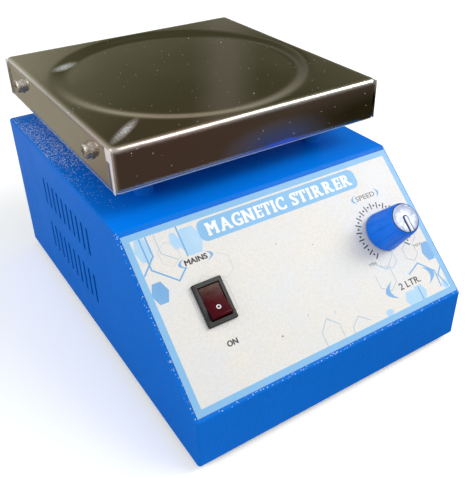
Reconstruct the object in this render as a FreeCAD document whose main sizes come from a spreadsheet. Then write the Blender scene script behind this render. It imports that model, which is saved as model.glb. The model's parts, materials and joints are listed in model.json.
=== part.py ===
"""Magnetic stirrer: a sloping-front steel housing, a raised stirring plate and the drive inside."""
import FreeCAD, Part
import math
import os
import re
import Sketcher
from FreeCAD import Vector

# Driving dimensions in millimetres and degrees. Every name has an underscore, so that a formula can be
# told apart from a function such as cos.
SIZES = {
    # housing: one folded and welded sheet with a flat roof, a slope, a low apron, two sides and a back
    "body_wide": 160,
    "body_deep": 223,
    "body_high": 86,
    "wall_thick": 1.2,
    "fold_round": 1.5,
    "apron_high": 27,
    "slope_run": 66.5,
    "lip_wide": 11,
    "lip_setback": 8,
    "lip_screw_end": 42,
    "seat_gap": 0.2,
    # side vents: two rows of upright slots in each side
    "vent_wide": 2.5,
    "vent_step": 7.15,
    "vent_count": 10,
    "vent_back": 53,
    "upper_vent_drop": 17.5,
    "upper_vent_long": 17,
    "lower_vent_drop": 46,
    "lower_vent_long": 19,
    # feet
    "foot_high": 5,
    "foot_radius": 8,
    "foot_taper": 1.3,
    "foot_recess": 2.4,
    "foot_bore": 3.5,
    "foot_side": 16,
    "foot_end": 19,
    # three-millimetre screws and nuts
    "small_thread": 3,
    "small_head": 5.6,
    "small_rise": 1.8,
    "small_long": 8,
    "board_screw_long": 5,
    "nut_across": 5.5,
    "nut_high": 2.4,
    # four-millimetre screws and washers
    "large_thread": 4,
    "large_head": 7.6,
    "large_rise": 2.7,
    "large_long": 9,
    "motor_screw_long": 4,
    "washer_wide": 9,
    "washer_thick": 0.8,
    "hole_gap": 0.1,
    # pan heads: crown and depth of the cross as shares of the rise, its arms as shares of the width
    "head_crown": 0.55,
    "cross_deep": 0.6,
    "cross_arm": 0.28,
    "cross_half": 0.065,
    # printed label on the slope
    "label_thick": 0.4,
    "label_left": 1.7,
    "label_right": 1.6,
    "label_upper": 2.7,
    "label_lower": 1.8,
    # stirring plate: a tray of thin stainless sheet, open below, with a round pressed recess
    "plate_side": 150,
    "plate_skirt": 21.7,
    "plate_sheet": 1,
    "plate_rise": 37.4,
    "plate_back": 1.8,
    "plate_corner": 3,
    "plate_bend": 2,
    "recess_margin": 4.5,
    "recess_slope": 7.5,
    "recess_deep": 1.5,
    "recess_round": 18,
    "seam_inset": 4.7,
    "seam_wide": 0.4,
    "seam_top": 3,
    "side_screw_inset": 25,
    "side_screw_drop": 9.6,
    # support pan and spacer posts under the plate
    "pan_gap": 0.1,
    "pan_sheet": 1.2,
    "pan_drop": 19.5,
    "pan_high": 14,
    "pan_end_gap": 5,
    "bar_clearance": 4,
    "post_radius": 5,
    "post_inset": 23,
    # motor and the plate that carries it
    "carrier_thick": 2,
    "carrier_edge": 10,
    "roof_opening": 21,
    "motor_radius": 26,
    "motor_long": 52,
    "motor_wall": 1.5,
    "motor_face": 2,
    "motor_screw_out": 16,
    "bearing_radius": 8,
    "bearing_neck": 6.5,
    "bearing_long": 9,
    "rear_bearing_radius": 6,
    "cap_long": 6,
    "cap_floor": 4,
    "cap_spigot": 3,
    "cap_spigot_wall": 2.5,
    "shaft_radius": 3,
    "running_gap": 0.05,
    "armature_radius": 17,
    "armature_start": 12,
    "armature_long": 28,
    "commutator_radius": 7.5,
    "commutator_start": 42,
    "commutator_long": 9,
    "field_gap": 1.2,
    "field_angle": 130,
    "brush_gap": 0.1,
    "brush_wide": 5,
    "brush_high": 7,
    "motor_tab_out": 14,
    # bar that carries the two stirring magnets
    "bar_long": 70,
    "bar_wide": 20,
    "bar_thick": 8,
    "bar_gap": 1.5,
    "hub_radius": 9,
    "hub_long": 8,
    "magnet_radius": 9,
    "magnet_thick": 5,
    "magnet_out": 24,
    "shaft_setback": 1,
    # rocker switch
    "switch_side": 50.1,
    "switch_down": 44.4,
    "bezel_wide": 15,
    "bezel_long": 20.6,
    "bezel_high": 2,
    "bezel_round": 0.6,
    "case_wide": 13,
    "case_long": 18.6,
    "case_deep": 13.5,
    "panel_gap": 0.1,
    "well_wide": 11.2,
    "well_long": 16.4,
    "well_deep": 4.6,
    "rocker_gap": 0.2,
    "rocker_end_gap": 0.3,
    "rocker_tilt": 10,
    "rocker_face": 1.7,
    "rocker_under": 2.5,
    "pin_radius": 1,
    "pin_reach": 0.5,
    "pin_end_gap": 0.1,
    "tab_wide": 4.8,
    "tab_thick": 0.8,
    "tab_long": 8,
    "tab_step": 7,
    # speed control
    "knob_side": 52.4,
    "knob_down": 44.2,
    "bush_radius": 4.75,
    "bush_rise": 5.2,
    "bush_seat": 2,
    "pot_radius": 12,
    "pot_deep": 10,
    "pot_floor": 1.5,
    "strip_wide": 16,
    "strip_deep": 3,
    "strip_start": 7.2,
    "strip_reach": 14,
    "lug_wide": 2,
    "lug_long": 6,
    "lug_step": 5,
    "bush_washer_radius": 7.5,
    "bush_washer_thick": 0.6,
    "bush_nut_across": 12,
    "bush_nut_high": 2.2,
    # knob
    "knob_lift": 0.5,
    "knob_radius": 10.5,
    "knob_top_radius": 8.3,
    "knob_high": 19.6,
    "knob_round": 0.9,
    "knob_skirt_radius": 8.4,
    "knob_skirt_deep": 5,
    "insert_radius": 4.5,
    "insert_long": 10.6,
    "spindle_radius": 3,
    "spindle_rise": 15.5,
    "disc_radius": 7.2,
    "disc_seat": 1.1,
    "disc_thick": 1.4,
    "pointer_wide": 2.2,
    "pointer_high": 0.5,
    "pointer_inset": 0.2,
    "pointer_tail": 0.6,
    # circuit board and what is on it
    "board_wide": 84,
    "board_deep": 54,
    "board_thick": 1.6,
    "board_front": 24,
    "board_side": 8,
    "board_hole_inset": 5,
    "standoff_radius": 3,
    "standoff_high": 8,
    "sink_wide": 24,
    "sink_deep": 12,
    "sink_high": 20,
    "sink_web": 2.5,
    "fin_thick": 1.2,
    "triac_wide": 10,
    "triac_thick": 4.5,
    "triac_high": 15,
    "bridge_wide": 19,
    "bridge_thick": 3.6,
    "bridge_high": 15,
    "capacitor_radius": 5,
    "capacitor_high": 16,
    "choke_outer": 11,
    "choke_hole": 4.5,
    "choke_high": 7,
    "choke_bevel": 1.5,
    "fuse_radius": 2.6,
    "fuse_long": 20,
    "clip_long": 5,
    "clip_wall": 0.8,
    "block_wide": 30,
    "block_deep": 10,
    "block_high": 12,
    "sink_x": -23,
    "sink_y": 5,
    "bridge_x": 8,
    "bridge_y": 20,
    "capacitor_x": 22,
    "capacitor_y": 12,
    "choke_x": 5,
    "choke_y": 4,
    "fuse_x": 25,
    "fuse_y": -8,
    "block_x": -8,
    "block_y": -19,
    # mains inlet in the back
    "inlet_side": 42,
    "inlet_height": 40,
    "flange_wide": 50,
    "flange_high": 22.6,
    "flange_thick": 3,
    "flange_corner": 4,
    "inlet_wide": 27.2,
    "inlet_tall": 19.6,
    "inlet_deep": 18,
    "socket_wide": 24.6,
    "socket_tall": 17,
    "socket_deep": 15.5,
    "inlet_screw_out": 20,
    "pin_wide": 2,
    "pin_tall": 5,
    "pin_mouth": 5,
    "pin_tail": 7,
    "pin_step": 7,
    "earth_rise": 3.5,
    # leads inside the housing
    "lead_radius": 1,
    "lead_step": 4,
    "lead_pitch": 3,
    "lead_drop": 10,
    "lead_exit": 8,
    "lead_corridor": 7,
    "lead_arch": 16,
    "lead_floor": 4,
}

# Sizes and places that follow from the driving dimensions.
WORKED_OUT = {
    "back_proud": "flange_thick + small_rise",
    "front_y": "-(body_deep + back_proud) / 2",
    "back_y": "front_y + body_deep",
    "roof_z": "foot_high + body_high",
    "floor_z": "foot_high + wall_thick",
    "slope_y": "front_y + slope_run",
    "slope_rise": "body_high - apron_high",
    "slope_angle": "atan2(slope_rise; slope_run)",
    "slope_long": "sqrt(slope_run ^ 2 + slope_rise ^ 2)",
    "half_wide": "body_wide / 2",
    "plate_y": "back_y - plate_back - plate_side / 2",
    "plate_z": "roof_z + plate_rise",
    "foot_x": "half_wide - foot_side",
    "foot_front_y": "front_y + foot_end",
    "foot_back_y": "back_y - foot_end",
    "lip_x": "half_wide - wall_thick - lip_wide / 2",
    "small_hole": "small_thread / 2 + hole_gap",
    "large_hole": "large_thread / 2 + hole_gap",
    "recess_outer": "plate_side / 2 - recess_margin",
    "recess_inner": "recess_outer - recess_slope",
    "pan_opening": "bar_long / 2 + bar_clearance",
    "pan_half": "plate_side / 2 - plate_sheet - pan_gap",
    "post_out": "plate_side / 2 - post_inset",
    "post_high": "plate_rise - pan_drop",
    "motor_z": "roof_z - wall_thick - carrier_thick",
    "shaft_hole": "shaft_radius + running_gap",
    "spindle_hole": "spindle_radius + running_gap",
    "bar_top_z": "plate_z - recess_deep - plate_sheet - bar_gap",
    "cap_end": "motor_long + cap_long",
    "well_half": "well_wide / 2",
    "rocker_half": "well_half - rocker_gap",
    "rocker_reach": "well_long / 2 - rocker_end_gap",
    "panel_back": "-wall_thick",
    "bush_hole": "bush_radius + panel_gap",
    "washer_top": "label_thick + bush_washer_thick",
    "knob_base": "label_thick + knob_lift",
    "knob_top": "knob_base + knob_high",
    "knob_ceiling": "knob_base + knob_skirt_deep",
    "disc_base": "knob_top - disc_seat",
    "disc_top": "disc_base + disc_thick",
    "board_x": "board_side",
    "board_y": "front_y + board_front + board_deep / 2",
    "board_z": "floor_z + standoff_high",
    "board_top": "board_z + board_thick",
    "inlet_x": "-inlet_side",
    "inlet_z": "foot_high + inlet_height",
}

UPRIGHT = "rotation(vector(1; 0; 0); 0)"
UPSIDE_DOWN = "rotation(vector(1; 0; 0); 180)"
TO_RIGHT = "rotation(vector(0; 1; 0); 90)"
TO_LEFT = "rotation(vector(0; 1; 0); -90)"
TO_BACK = "rotation(vector(1; 0; 0); -90)"
ALONG_SLOPE = "rotation(vector(1; 0; 0); slope_angle)"
SIDES = (("left", "-"), ("right", ""))
NEAR = 1e-4
# Share of a lead's shorter run that its bend takes, and how far the swept volume may be from the worked-out one.
BEND_SHARE = 0.45
SWEEP_ERROR = 0.01

doc = FreeCAD.newDocument("MagneticStirrer")
subparts = []


def fill_sheet():
    """Write the driving dimensions into the document's sheet, one named cell each."""
    sheet = doc.addObject("Spreadsheet::Sheet", "Sizes")
    for row, (name, size) in enumerate(SIZES.items(), 1):
        sheet.set(f"A{row}", name)
        sheet.set(f"B{row}", str(size))
        sheet.setAlias(f"B{row}", name)
    doc.recompute()
    return sheet


SHEET = fill_sheet()


def expand(text):
    """Spell a formula out until it names only cells of the sheet."""
    def swap(match):
        word = match.group(0)
        if word in WORKED_OUT:
            return f"({expand(WORKED_OUT[word])})"
        return f"Sizes.{word}"
    return re.sub(r"[a-z]+(?:_[a-z]+)+", swap, str(text))


def value(text):
    """The present value of a formula."""
    return float(SHEET.evalExpression(expand(text)))


def bind(piece, setting, text):
    """Tie one setting of a piece to a formula of the sheet."""
    piece.setExpression(setting, expand(text))


def at(x="0", y="0", z="0", turn=UPRIGHT):
    """Placement formula for a position and a turn."""
    return f"placement(vector({x}; {y}; {z}); {turn})"


def slope_place(down, out):
    """Formulas for how far back and how high a place is, from down the sloping face and out from it."""
    y = f"slope_y - ({down}) * cos(slope_angle) - ({out}) * sin(slope_angle)"
    z = f"roof_z - ({down}) * sin(slope_angle) + ({out}) * cos(slope_angle)"
    return y, z


def on_slope(x, down, out, turn=ALONG_SLOPE):
    """Placement formula on the sloping face: across it, down it and out from it."""
    return at(x, *slope_place(down, out), turn)


def keep(piece, where=None):
    """Place a finished sub-part and list it for export."""
    if where:
        bind(piece, "Placement", where)
    subparts.append(piece)
    return piece


# ---- sketches ----

def new_body(label):
    """Empty body of one sub-part."""
    body = doc.addObject("PartDesign::Body", label)
    body.Label = label
    return body


def sketch_on(body, role, name, offset=None):
    """Sketch on one of the body's own origin planes, moved by an optional placement formula."""
    sketch = body.newObject("Sketcher::SketchObject", f"{body.Label}_{name}")
    plane = next(item for item in body.Origin.OriginFeatures if item.Role == role)
    sketch.AttachmentSupport = (plane, [""])
    sketch.MapMode = "FlatFace"
    if offset:
        bind(sketch, "AttachmentOffset", offset)
    return sketch


def hold(sketch, constraint, text):
    """Add a driving constraint whose value is a formula."""
    index = sketch.addConstraint(constraint)
    sketch.setExpression(f"Constraints[{index}]", expand(text))


def fix_point(sketch, curve, end, x, y):
    """Keep one point of a curve at a place given by two formulas."""
    hold(sketch, Sketcher.Constraint("DistanceX", -1, 1, curve, end, value(x)), x)
    hold(sketch, Sketcher.Constraint("DistanceY", -1, 1, curve, end, value(y)), y)


def outline(sketch, corners):
    """Closed loop of straight sides with its corners on their formulas."""
    spots = [Vector(value(x), value(y), 0) for x, y in corners]
    first = sketch.GeometryCount
    count = len(corners)
    for number in range(count):
        sketch.addGeometry(Part.LineSegment(spots[number], spots[(number + 1) % count]), False)
    for number, (x, y) in enumerate(corners):
        following = first + (number + 1) % count
        sketch.addConstraint(Sketcher.Constraint("Coincident", first + number, 2, following, 1))
        fix_point(sketch, first + number, 1, x, y)


def oblong(sketch, x, y, wide, high):
    """Rectangle about a centre."""
    left = f"({x}) - ({wide}) / 2"
    right = f"({x}) + ({wide}) / 2"
    low = f"({y}) - ({high}) / 2"
    top = f"({y}) + ({high}) / 2"
    outline(sketch, [(left, low), (right, low), (right, top), (left, top)])


def circle(sketch, x, y, radius):
    """Circle about a centre."""
    centre = Vector(value(x), value(y), 0)
    curve = sketch.addGeometry(Part.Circle(centre, Vector(0, 0, 1), value(radius)), False)
    fix_point(sketch, curve, 3, x, y)
    hold(sketch, Sketcher.Constraint("Radius", curve, value(radius)), radius)


def rounded_oblong(sketch, x, y, wide, high, radius):
    """Rectangle about a centre with round corners."""
    reach = value(radius)
    first = sketch.GeometryCount
    centres = []
    for number, (sign_x, sign_y) in enumerate((("+", "+"), ("-", "+"), ("-", "-"), ("+", "-"))):
        across = f"({x}) {sign_x} (({wide}) / 2 - ({radius}))"
        up = f"({y}) {sign_y} (({high}) / 2 - ({radius}))"
        centres.append((across, up))
        start = number * math.pi / 2
        corner = Part.Circle(Vector(value(across), value(up), 0), Vector(0, 0, 1), reach)
        sketch.addGeometry(Part.ArcOfCircle(corner, start, start + math.pi / 2), False)
    for number in range(4):
        arc = sketch.Geometry[first + number]
        following = sketch.Geometry[first + (number + 1) % 4]
        sketch.addGeometry(Part.LineSegment(arc.EndPoint, following.StartPoint), False)
    for number in range(4):
        line = first + 4 + number
        sketch.addConstraint(Sketcher.Constraint("Tangent", first + number, 2, line, 1))
        sketch.addConstraint(Sketcher.Constraint("Tangent", line, 2, first + (number + 1) % 4, 1))
    for number, (across, up) in enumerate(centres):
        fix_point(sketch, first + number, 3, across, up)
        hold(sketch, Sketcher.Constraint("Radius", first + number, reach), radius)


def slot(sketch, x, low, high, radius):
    """Upright slot with round ends whose end centres are at low and high."""
    across = value(x)
    reach = value(radius)
    upper = Vector(across, value(high), 0)
    lower = Vector(across, value(low), 0)
    left = Vector(-reach, 0, 0)
    first = sketch.GeometryCount
    upper_circle = Part.Circle(upper, Vector(0, 0, 1), reach)
    lower_circle = Part.Circle(lower, Vector(0, 0, 1), reach)
    sketch.addGeometry(Part.ArcOfCircle(upper_circle, 0, math.pi), False)
    sketch.addGeometry(Part.LineSegment(upper + left, lower + left), False)
    sketch.addGeometry(Part.ArcOfCircle(lower_circle, math.pi, 2 * math.pi), False)
    sketch.addGeometry(Part.LineSegment(lower - left, upper - left), False)
    for before, after in ((0, 1), (1, 2), (2, 3), (3, 0)):
        sketch.addConstraint(Sketcher.Constraint("Tangent", first + before, 2, first + after, 1))
    fix_point(sketch, first, 3, x, high)
    fix_point(sketch, first + 2, 3, x, low)
    hold(sketch, Sketcher.Constraint("Radius", first, reach), radius)


# ---- features ----

def pad(body, sketch, length, back=False, both=False):
    """Thicken a sketch into a solid."""
    feature = body.newObject("PartDesign::Pad", f"{sketch.Label}_pad")
    feature.Profile = sketch
    feature.SideType = "Symmetric" if both else "One side"
    feature.Reversed = back
    bind(feature, "Length", length)
    doc.recompute()
    return feature


def pocket(body, sketch, length, back=False, both=False):
    """Cut a sketch out of the body, and insist that it removes something."""
    before = body.Tip.Shape.Volume
    feature = body.newObject("PartDesign::Pocket", f"{sketch.Label}_pocket")
    feature.Profile = sketch
    feature.SideType = "Symmetric" if both else "One side"
    feature.Reversed = back
    bind(feature, "Length", length)
    doc.recompute()
    if feature.Shape.Volume > before - NEAR:
        raise RuntimeError(f"{feature.Label} removes nothing")
    return feature


def round_edges(body, name, radius, wanted):
    """Fillet the edges of the body's last feature that pass a test."""
    base = body.Tip
    edges = [f"Edge{number}" for number, edge in enumerate(base.Shape.Edges, 1) if wanted(edge)]
    feature = body.newObject("PartDesign::Fillet", f"{body.Label}_{name}")
    feature.Base = (base, edges)
    bind(feature, "Radius", radius)
    doc.recompute()
    return feature


def turned(label, corners):
    """Body turned about its own upright axis from half its section."""
    body = new_body(label)
    half = sketch_on(body, "XZ_Plane", "half")
    outline(half, corners)
    turn = body.newObject("PartDesign::Revolution", f"{label}_turn")
    turn.Profile = half
    turn.ReferenceAxis = (half, ["V_Axis"])
    turn.Angle = 360
    doc.recompute()
    return body


def tube(label, inner, outer, low, high):
    """Turned ring or tube."""
    return turned(label, [(inner, low), (outer, low), (outer, high), (inner, high)])


def middle(edge):
    """Point half way along an edge."""
    return edge.valueAt((edge.FirstParameter + edge.LastParameter) / 2)


def is_circle(edge, radius, height):
    """True for a full circle of this radius at this height about the upright axis."""
    curve = edge.Curve
    if not isinstance(curve, Part.Circle):
        return False
    return abs(curve.Radius - value(radius)) < NEAR and abs(curve.Center.z - value(height)) < NEAR


def is_upright(edge):
    """True for a straight edge along Z."""
    box = edge.BoundBox
    return box.XLength < NEAR and box.YLength < NEAR and box.ZLength > NEAR


def group(label, source, places):
    """One sub-part made of equal separate solids, the source repeated at each placement."""
    copies = []
    for number, where in enumerate(places, 1):
        copy = doc.addObject("App::Link", f"{label}_{number}")
        copy.LinkedObject = source
        bind(copy, "LinkPlacement", where)
        copies.append(copy)
    whole = doc.addObject("Part::Compound", label)
    whole.Links = copies
    return keep(whole)


def block(label, wide, deep, high):
    """Plain rectangular body centred on its axis, standing on its own origin."""
    body = new_body(label)
    base = sketch_on(body, "XY_Plane", "base")
    oblong(base, "0", "0", wide, deep)
    pad(body, base, high)
    return body


def pan_screw(label, thread, length, head, rise):
    """Pan-head screw with a cross recess, its head standing on its own origin."""
    body = turned(label, [
        ("0", f"-({length})"),
        (f"{thread} / 2", f"-({length})"),
        (f"{thread} / 2", "0"),
        (f"{head} / 2", "0"),
        (f"{head} / 2", rise),
        ("0", rise),
    ])
    round_edges(body, "crown", f"{rise} * head_crown", lambda edge: is_circle(edge, f"{head} / 2", rise))
    cross = sketch_on(body, "XY_Plane", "cross", at(z=rise))
    arm = f"{head} * cross_arm"
    half = f"{head} * cross_half"
    outline(cross, [
        (arm, f"-{half}"), (arm, half), (half, half), (half, arm), (f"-{half}", arm), (f"-{half}", half),
        (f"-{arm}", half), (f"-{arm}", f"-{half}"), (f"-{half}", f"-{half}"), (f"-{half}", f"-{arm}"),
        (half, f"-{arm}"), (half, f"-{half}"),
    ])
    pocket(body, cross, f"{rise} * cross_deep")
    return body


def hex_nut(label, across, high, bore):
    """Hexagonal nut standing on its own origin."""
    body = new_body(label)
    base = sketch_on(body, "XY_Plane", "hexagon")
    turns = [60 * number for number in range(6)]
    outline(base, [(f"{across} / sqrt(3) * cos({a})", f"{across} / sqrt(3) * sin({a})") for a in turns])
    circle(base, "0", "0", bore)
    pad(body, base, high)
    return body


# ---- housing, base and feet ----

def case_hole_places():
    """Centres of the six screws that join the base plate to the housing's lips."""
    rows = ("front_y + lip_screw_end", "(front_y + back_y) / 2", "back_y - lip_screw_end")
    return [(f"{sign}(lip_x)", y) for _, sign in SIDES for y in rows]


def foot_places():
    """Name and centre of each foot."""
    rows = (("front", "foot_front_y"), ("back", "foot_back_y"))
    return [(f"{row}_{side}", f"{sign}(foot_x)", y) for row, y in rows for side, sign in SIDES]


def post_places():
    """Centres of the four spacer posts."""
    return [(f"{a}(post_out)", f"plate_y {b} post_out") for a in ("", "-") for b in ("+", "-")]


def board_places():
    """Centres of the four holes in the circuit board."""
    out_x = "(board_wide / 2 - board_hole_inset)"
    out_y = "(board_deep / 2 - board_hole_inset)"
    return [(f"board_x {a} {out_x}", f"board_y {b} {out_y}") for a in "+-" for b in "+-"]


def outer_faces_at(point):
    """How many of the housing's outer faces a point lies on."""
    out = (point.z - value("roof_z")) * math.cos(math.radians(value("slope_angle")))
    out -= (value("slope_y") - point.y) * -math.sin(math.radians(value("slope_angle")))
    tests = (
        abs(abs(point.x) - value("half_wide")),
        abs(point.y - value("front_y")),
        abs(point.y - value("back_y")),
        abs(point.z - value("roof_z")),
        abs(out),
    )
    return sum(test < NEAR for test in tests)


def add_shell(body):
    """Hollow sheet box with its outer folds rounded and two lips along the bottom."""
    side = sketch_on(body, "YZ_Plane", "side")
    outline(side, [
        ("front_y", "foot_high"),
        ("back_y", "foot_high"),
        ("back_y", "roof_z"),
        ("slope_y", "roof_z"),
        ("front_y", "foot_high + apron_high"),
    ])
    block_feature = pad(body, side, "body_wide", both=True)
    faces = block_feature.Shape.Faces
    bottom = [f"Face{n}" for n, face in enumerate(faces, 1) if face.BoundBox.ZMax < value("foot_high") + NEAR]
    shell = body.newObject("PartDesign::Thickness", "housing_sheet")
    shell.Base = (block_feature, bottom)
    shell.Reversed = True
    bind(shell, "Value", "wall_thick")
    doc.recompute()
    round_edges(body, "folds", "fold_round", lambda edge: outer_faces_at(middle(edge)) > 1)
    lips = sketch_on(body, "XY_Plane", "lips", at(z="floor_z"))
    reach = "lip_wide + wall_thick / 2"
    for _, sign in SIDES:
        centre = f"{sign}(half_wide - wall_thick / 2 - ({reach}) / 2)"
        oblong(lips, centre, "(front_y + back_y) / 2", reach, "body_deep - 2 * lip_setback")
    pad(body, lips, "wall_thick")


def add_openings(body):
    """Holes of the housing: controls, drive, posts, base screws, inlet and vents."""
    controls = sketch_on(body, "XY_Plane", "controls", on_slope("0", "0", "0"))
    oblong(controls, "-switch_side", "-switch_down", "case_wide + 2 * panel_gap", "case_long + 2 * panel_gap")
    circle(controls, "knob_side", "-knob_down", "bush_hole")
    pocket(body, controls, "4 * wall_thick", both=True)
    roof = sketch_on(body, "XY_Plane", "roof", at(z="roof_z"))
    circle(roof, "0", "plate_y", "roof_opening")
    for x, y in post_places():
        circle(roof, x, y, "large_hole")
    pocket(body, roof, "4 * wall_thick", both=True)
    threads = sketch_on(body, "XY_Plane", "threads", at(z="floor_z"))
    for x, y in case_hole_places():
        circle(threads, x, y, "small_thread / 2")
    pocket(body, threads, "4 * wall_thick", both=True)
    inlet = sketch_on(body, "XZ_Plane", "inlet", at(z="-(back_y)"))
    oblong(inlet, "inlet_x", "inlet_z", "inlet_wide + 2 * panel_gap", "inlet_tall + 2 * panel_gap")
    for _, sign in SIDES:
        circle(inlet, f"inlet_x - {sign}(inlet_screw_out)", "inlet_z", "small_hole")
    pocket(body, inlet, "4 * wall_thick", both=True)
    vents = sketch_on(body, "YZ_Plane", "vents")
    end = "vent_wide / 2"
    for drop, length in (("upper_vent_drop", "upper_vent_long"), ("lower_vent_drop", "lower_vent_long")):
        slot(vents, "back_y - vent_back", f"roof_z - {drop} - {length} + {end}", f"roof_z - {drop} - {end}", end)
    first = pocket(body, vents, "body_wide + 2 * wall_thick", both=True)
    row = body.newObject("PartDesign::LinearPattern", "housing_vent_row")
    row.Originals = [first]
    row.Direction = (vents, ["H_Axis"])
    row.Reversed = True
    bind(row, "Length", "vent_step * (vent_count - 1)")
    bind(row, "Occurrences", "vent_count")
    body.Tip = row
    doc.recompute()


def make_housing():
    """Folded and welded steel housing."""
    body = new_body("housing")
    add_shell(body)
    add_openings(body)
    keep(body)


def make_base_plate():
    """Flat plate that closes the housing from below."""
    body = new_body("base_plate")
    base = sketch_on(body, "XY_Plane", "base", at(z="foot_high"))
    margin = "2 * (wall_thick + seat_gap)"
    oblong(base, "0", "(front_y + back_y) / 2", f"body_wide - {margin}", f"body_deep - {margin}")
    for x, y in case_hole_places() + board_places():
        circle(base, x, y, "small_hole")
    for _, x, y in foot_places():
        circle(base, x, y, "small_hole")
    pad(body, base, "wall_thick")
    keep(body)


def make_feet():
    """Four tapered rubber feet, each recessed for its screw's head."""
    for name, x, y in foot_places():
        foot = turned(f"foot_{name}", [
            ("foot_bore", "0"),
            ("foot_radius - foot_taper", "0"),
            ("foot_radius", "foot_high"),
            ("small_hole", "foot_high"),
            ("small_hole", "foot_recess"),
            ("foot_bore", "foot_recess"),
        ])
        keep(foot, at(x, y))


def make_small_fasteners():
    """Screws that hold the feet, the base plate, the board and the inlet, and the nuts on them."""
    screw = pan_screw("case_screw", "small_thread", "small_long", "small_head", "small_rise")
    places = [at(x, y, "foot_recess", UPSIDE_DOWN) for _, x, y in foot_places()]
    places += [at(x, y, "foot_high", UPSIDE_DOWN) for x, y in case_hole_places()]
    group("case_screws", screw, places)
    inlet = [at(f"inlet_x - {sign}(inlet_screw_out)", "back_y + flange_thick", "inlet_z", TO_BACK)
             for _, sign in SIDES]
    group("inlet_screws", screw, inlet)
    nut = hex_nut("small_nut", "nut_across", "nut_high", "small_thread / 2")
    places = [at(x, y, "floor_z") for _, x, y in foot_places()]
    places += [at(f"inlet_x - {sign}(inlet_screw_out)", "back_y - wall_thick - nut_high", "inlet_z", TO_BACK)
               for _, sign in SIDES]
    group("small_nuts", nut, places)
    short = pan_screw("board_screw", "small_thread", "board_screw_long", "small_head", "small_rise")
    places = [at(x, y, "foot_high", UPSIDE_DOWN) for x, y in board_places()]
    places += [at(x, y, "board_top") for x, y in board_places()]
    group("board_screws", short, places)


def make_label():
    """Printed sheet stuck on the sloping face."""
    body = new_body("front_label")
    face = sketch_on(body, "XY_Plane", "face")
    left = "-(half_wide) + label_left"
    right = "half_wide - label_right"
    low = "-(slope_long) + label_lower"
    outline(face, [(left, low), (right, low), (right, "-label_upper"), (left, "-label_upper")])
    oblong(face, "-switch_side", "-switch_down", "case_wide + 2 * panel_gap", "case_long + 2 * panel_gap")
    circle(face, "knob_side", "-knob_down", "bush_hole")
    pad(body, face, "label_thick")
    keep(body, on_slope("0", "0", "0"))


# ---- stirring plate and its support ----

def add_tray(body):
    """Square tray, open below, with rounded corners and bends of even thickness."""
    top = sketch_on(body, "XY_Plane", "top")
    rounded_oblong(top, "0", "0", "plate_side", "plate_side", "plate_corner")
    pad(body, top, "plate_skirt", back=True)
    round_edges(body, "bends", "plate_bend", lambda edge: edge.BoundBox.ZMin > -NEAR)
    inside = sketch_on(body, "XY_Plane", "inside", at(z="-plate_sheet"))
    inner_side = "plate_side - 2 * plate_sheet"
    rounded_oblong(inside, "0", "0", inner_side, inner_side, "plate_corner - plate_sheet")
    pocket(body, inside, "plate_skirt")
    ceiling = -value("plate_sheet")
    round_edges(body, "inner_bends", "plate_bend - plate_sheet",
                lambda edge: edge.BoundBox.ZLength < NEAR and abs(edge.BoundBox.ZMin - ceiling) < NEAR)


def add_recess(body):
    """Round recess pressed into the tray, with a soft sloping wall."""
    rim = sketch_on(body, "XY_Plane", "rim")
    circle(rim, "0", "0", "recess_outer")
    pocket(body, rim, "4 * plate_sheet", both=True)
    dish = sketch_on(body, "XZ_Plane", "dish")
    outline(dish, [
        ("0", "-recess_deep"),
        ("recess_inner", "-recess_deep"),
        ("recess_outer", "0"),
        ("recess_outer", "-plate_sheet"),
        ("recess_inner", "-recess_deep - plate_sheet"),
        ("0", "-recess_deep - plate_sheet"),
    ])
    turn = body.newObject("PartDesign::Revolution", "top_plate_dish_turn")
    turn.Profile = dish
    turn.ReferenceAxis = (dish, ["V_Axis"])
    turn.Angle = 360
    doc.recompute()
    rings = (("recess_inner", "-recess_deep"), ("recess_outer", "0"),
             ("recess_outer", "-plate_sheet"), ("recess_inner", "-recess_deep - plate_sheet"))
    round_edges(body, "pressing", "recess_round",
                lambda edge: any(is_circle(edge, radius, height) for radius, height in rings))


def make_top_plate():
    """Stainless stirring plate with a round recess, corner seams and side screw holes."""
    body = new_body("top_plate")
    add_tray(body)
    add_recess(body)
    holes = sketch_on(body, "YZ_Plane", "side_holes")
    seam_low = "-plate_skirt - plate_sheet"
    for sign in "+-":
        circle(holes, f"{sign}(plate_side / 2 - side_screw_inset)", "-side_screw_drop", "large_hole")
        centre = f"{sign}(plate_side / 2 - seam_inset)"
        oblong(holes, centre, f"({seam_low} - seam_top) / 2", "seam_wide", f"-({seam_low}) - seam_top")
    pocket(body, holes, "plate_side + 2 * plate_sheet", both=True)
    keep(body, at("0", "plate_y", "plate_z"))


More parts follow.
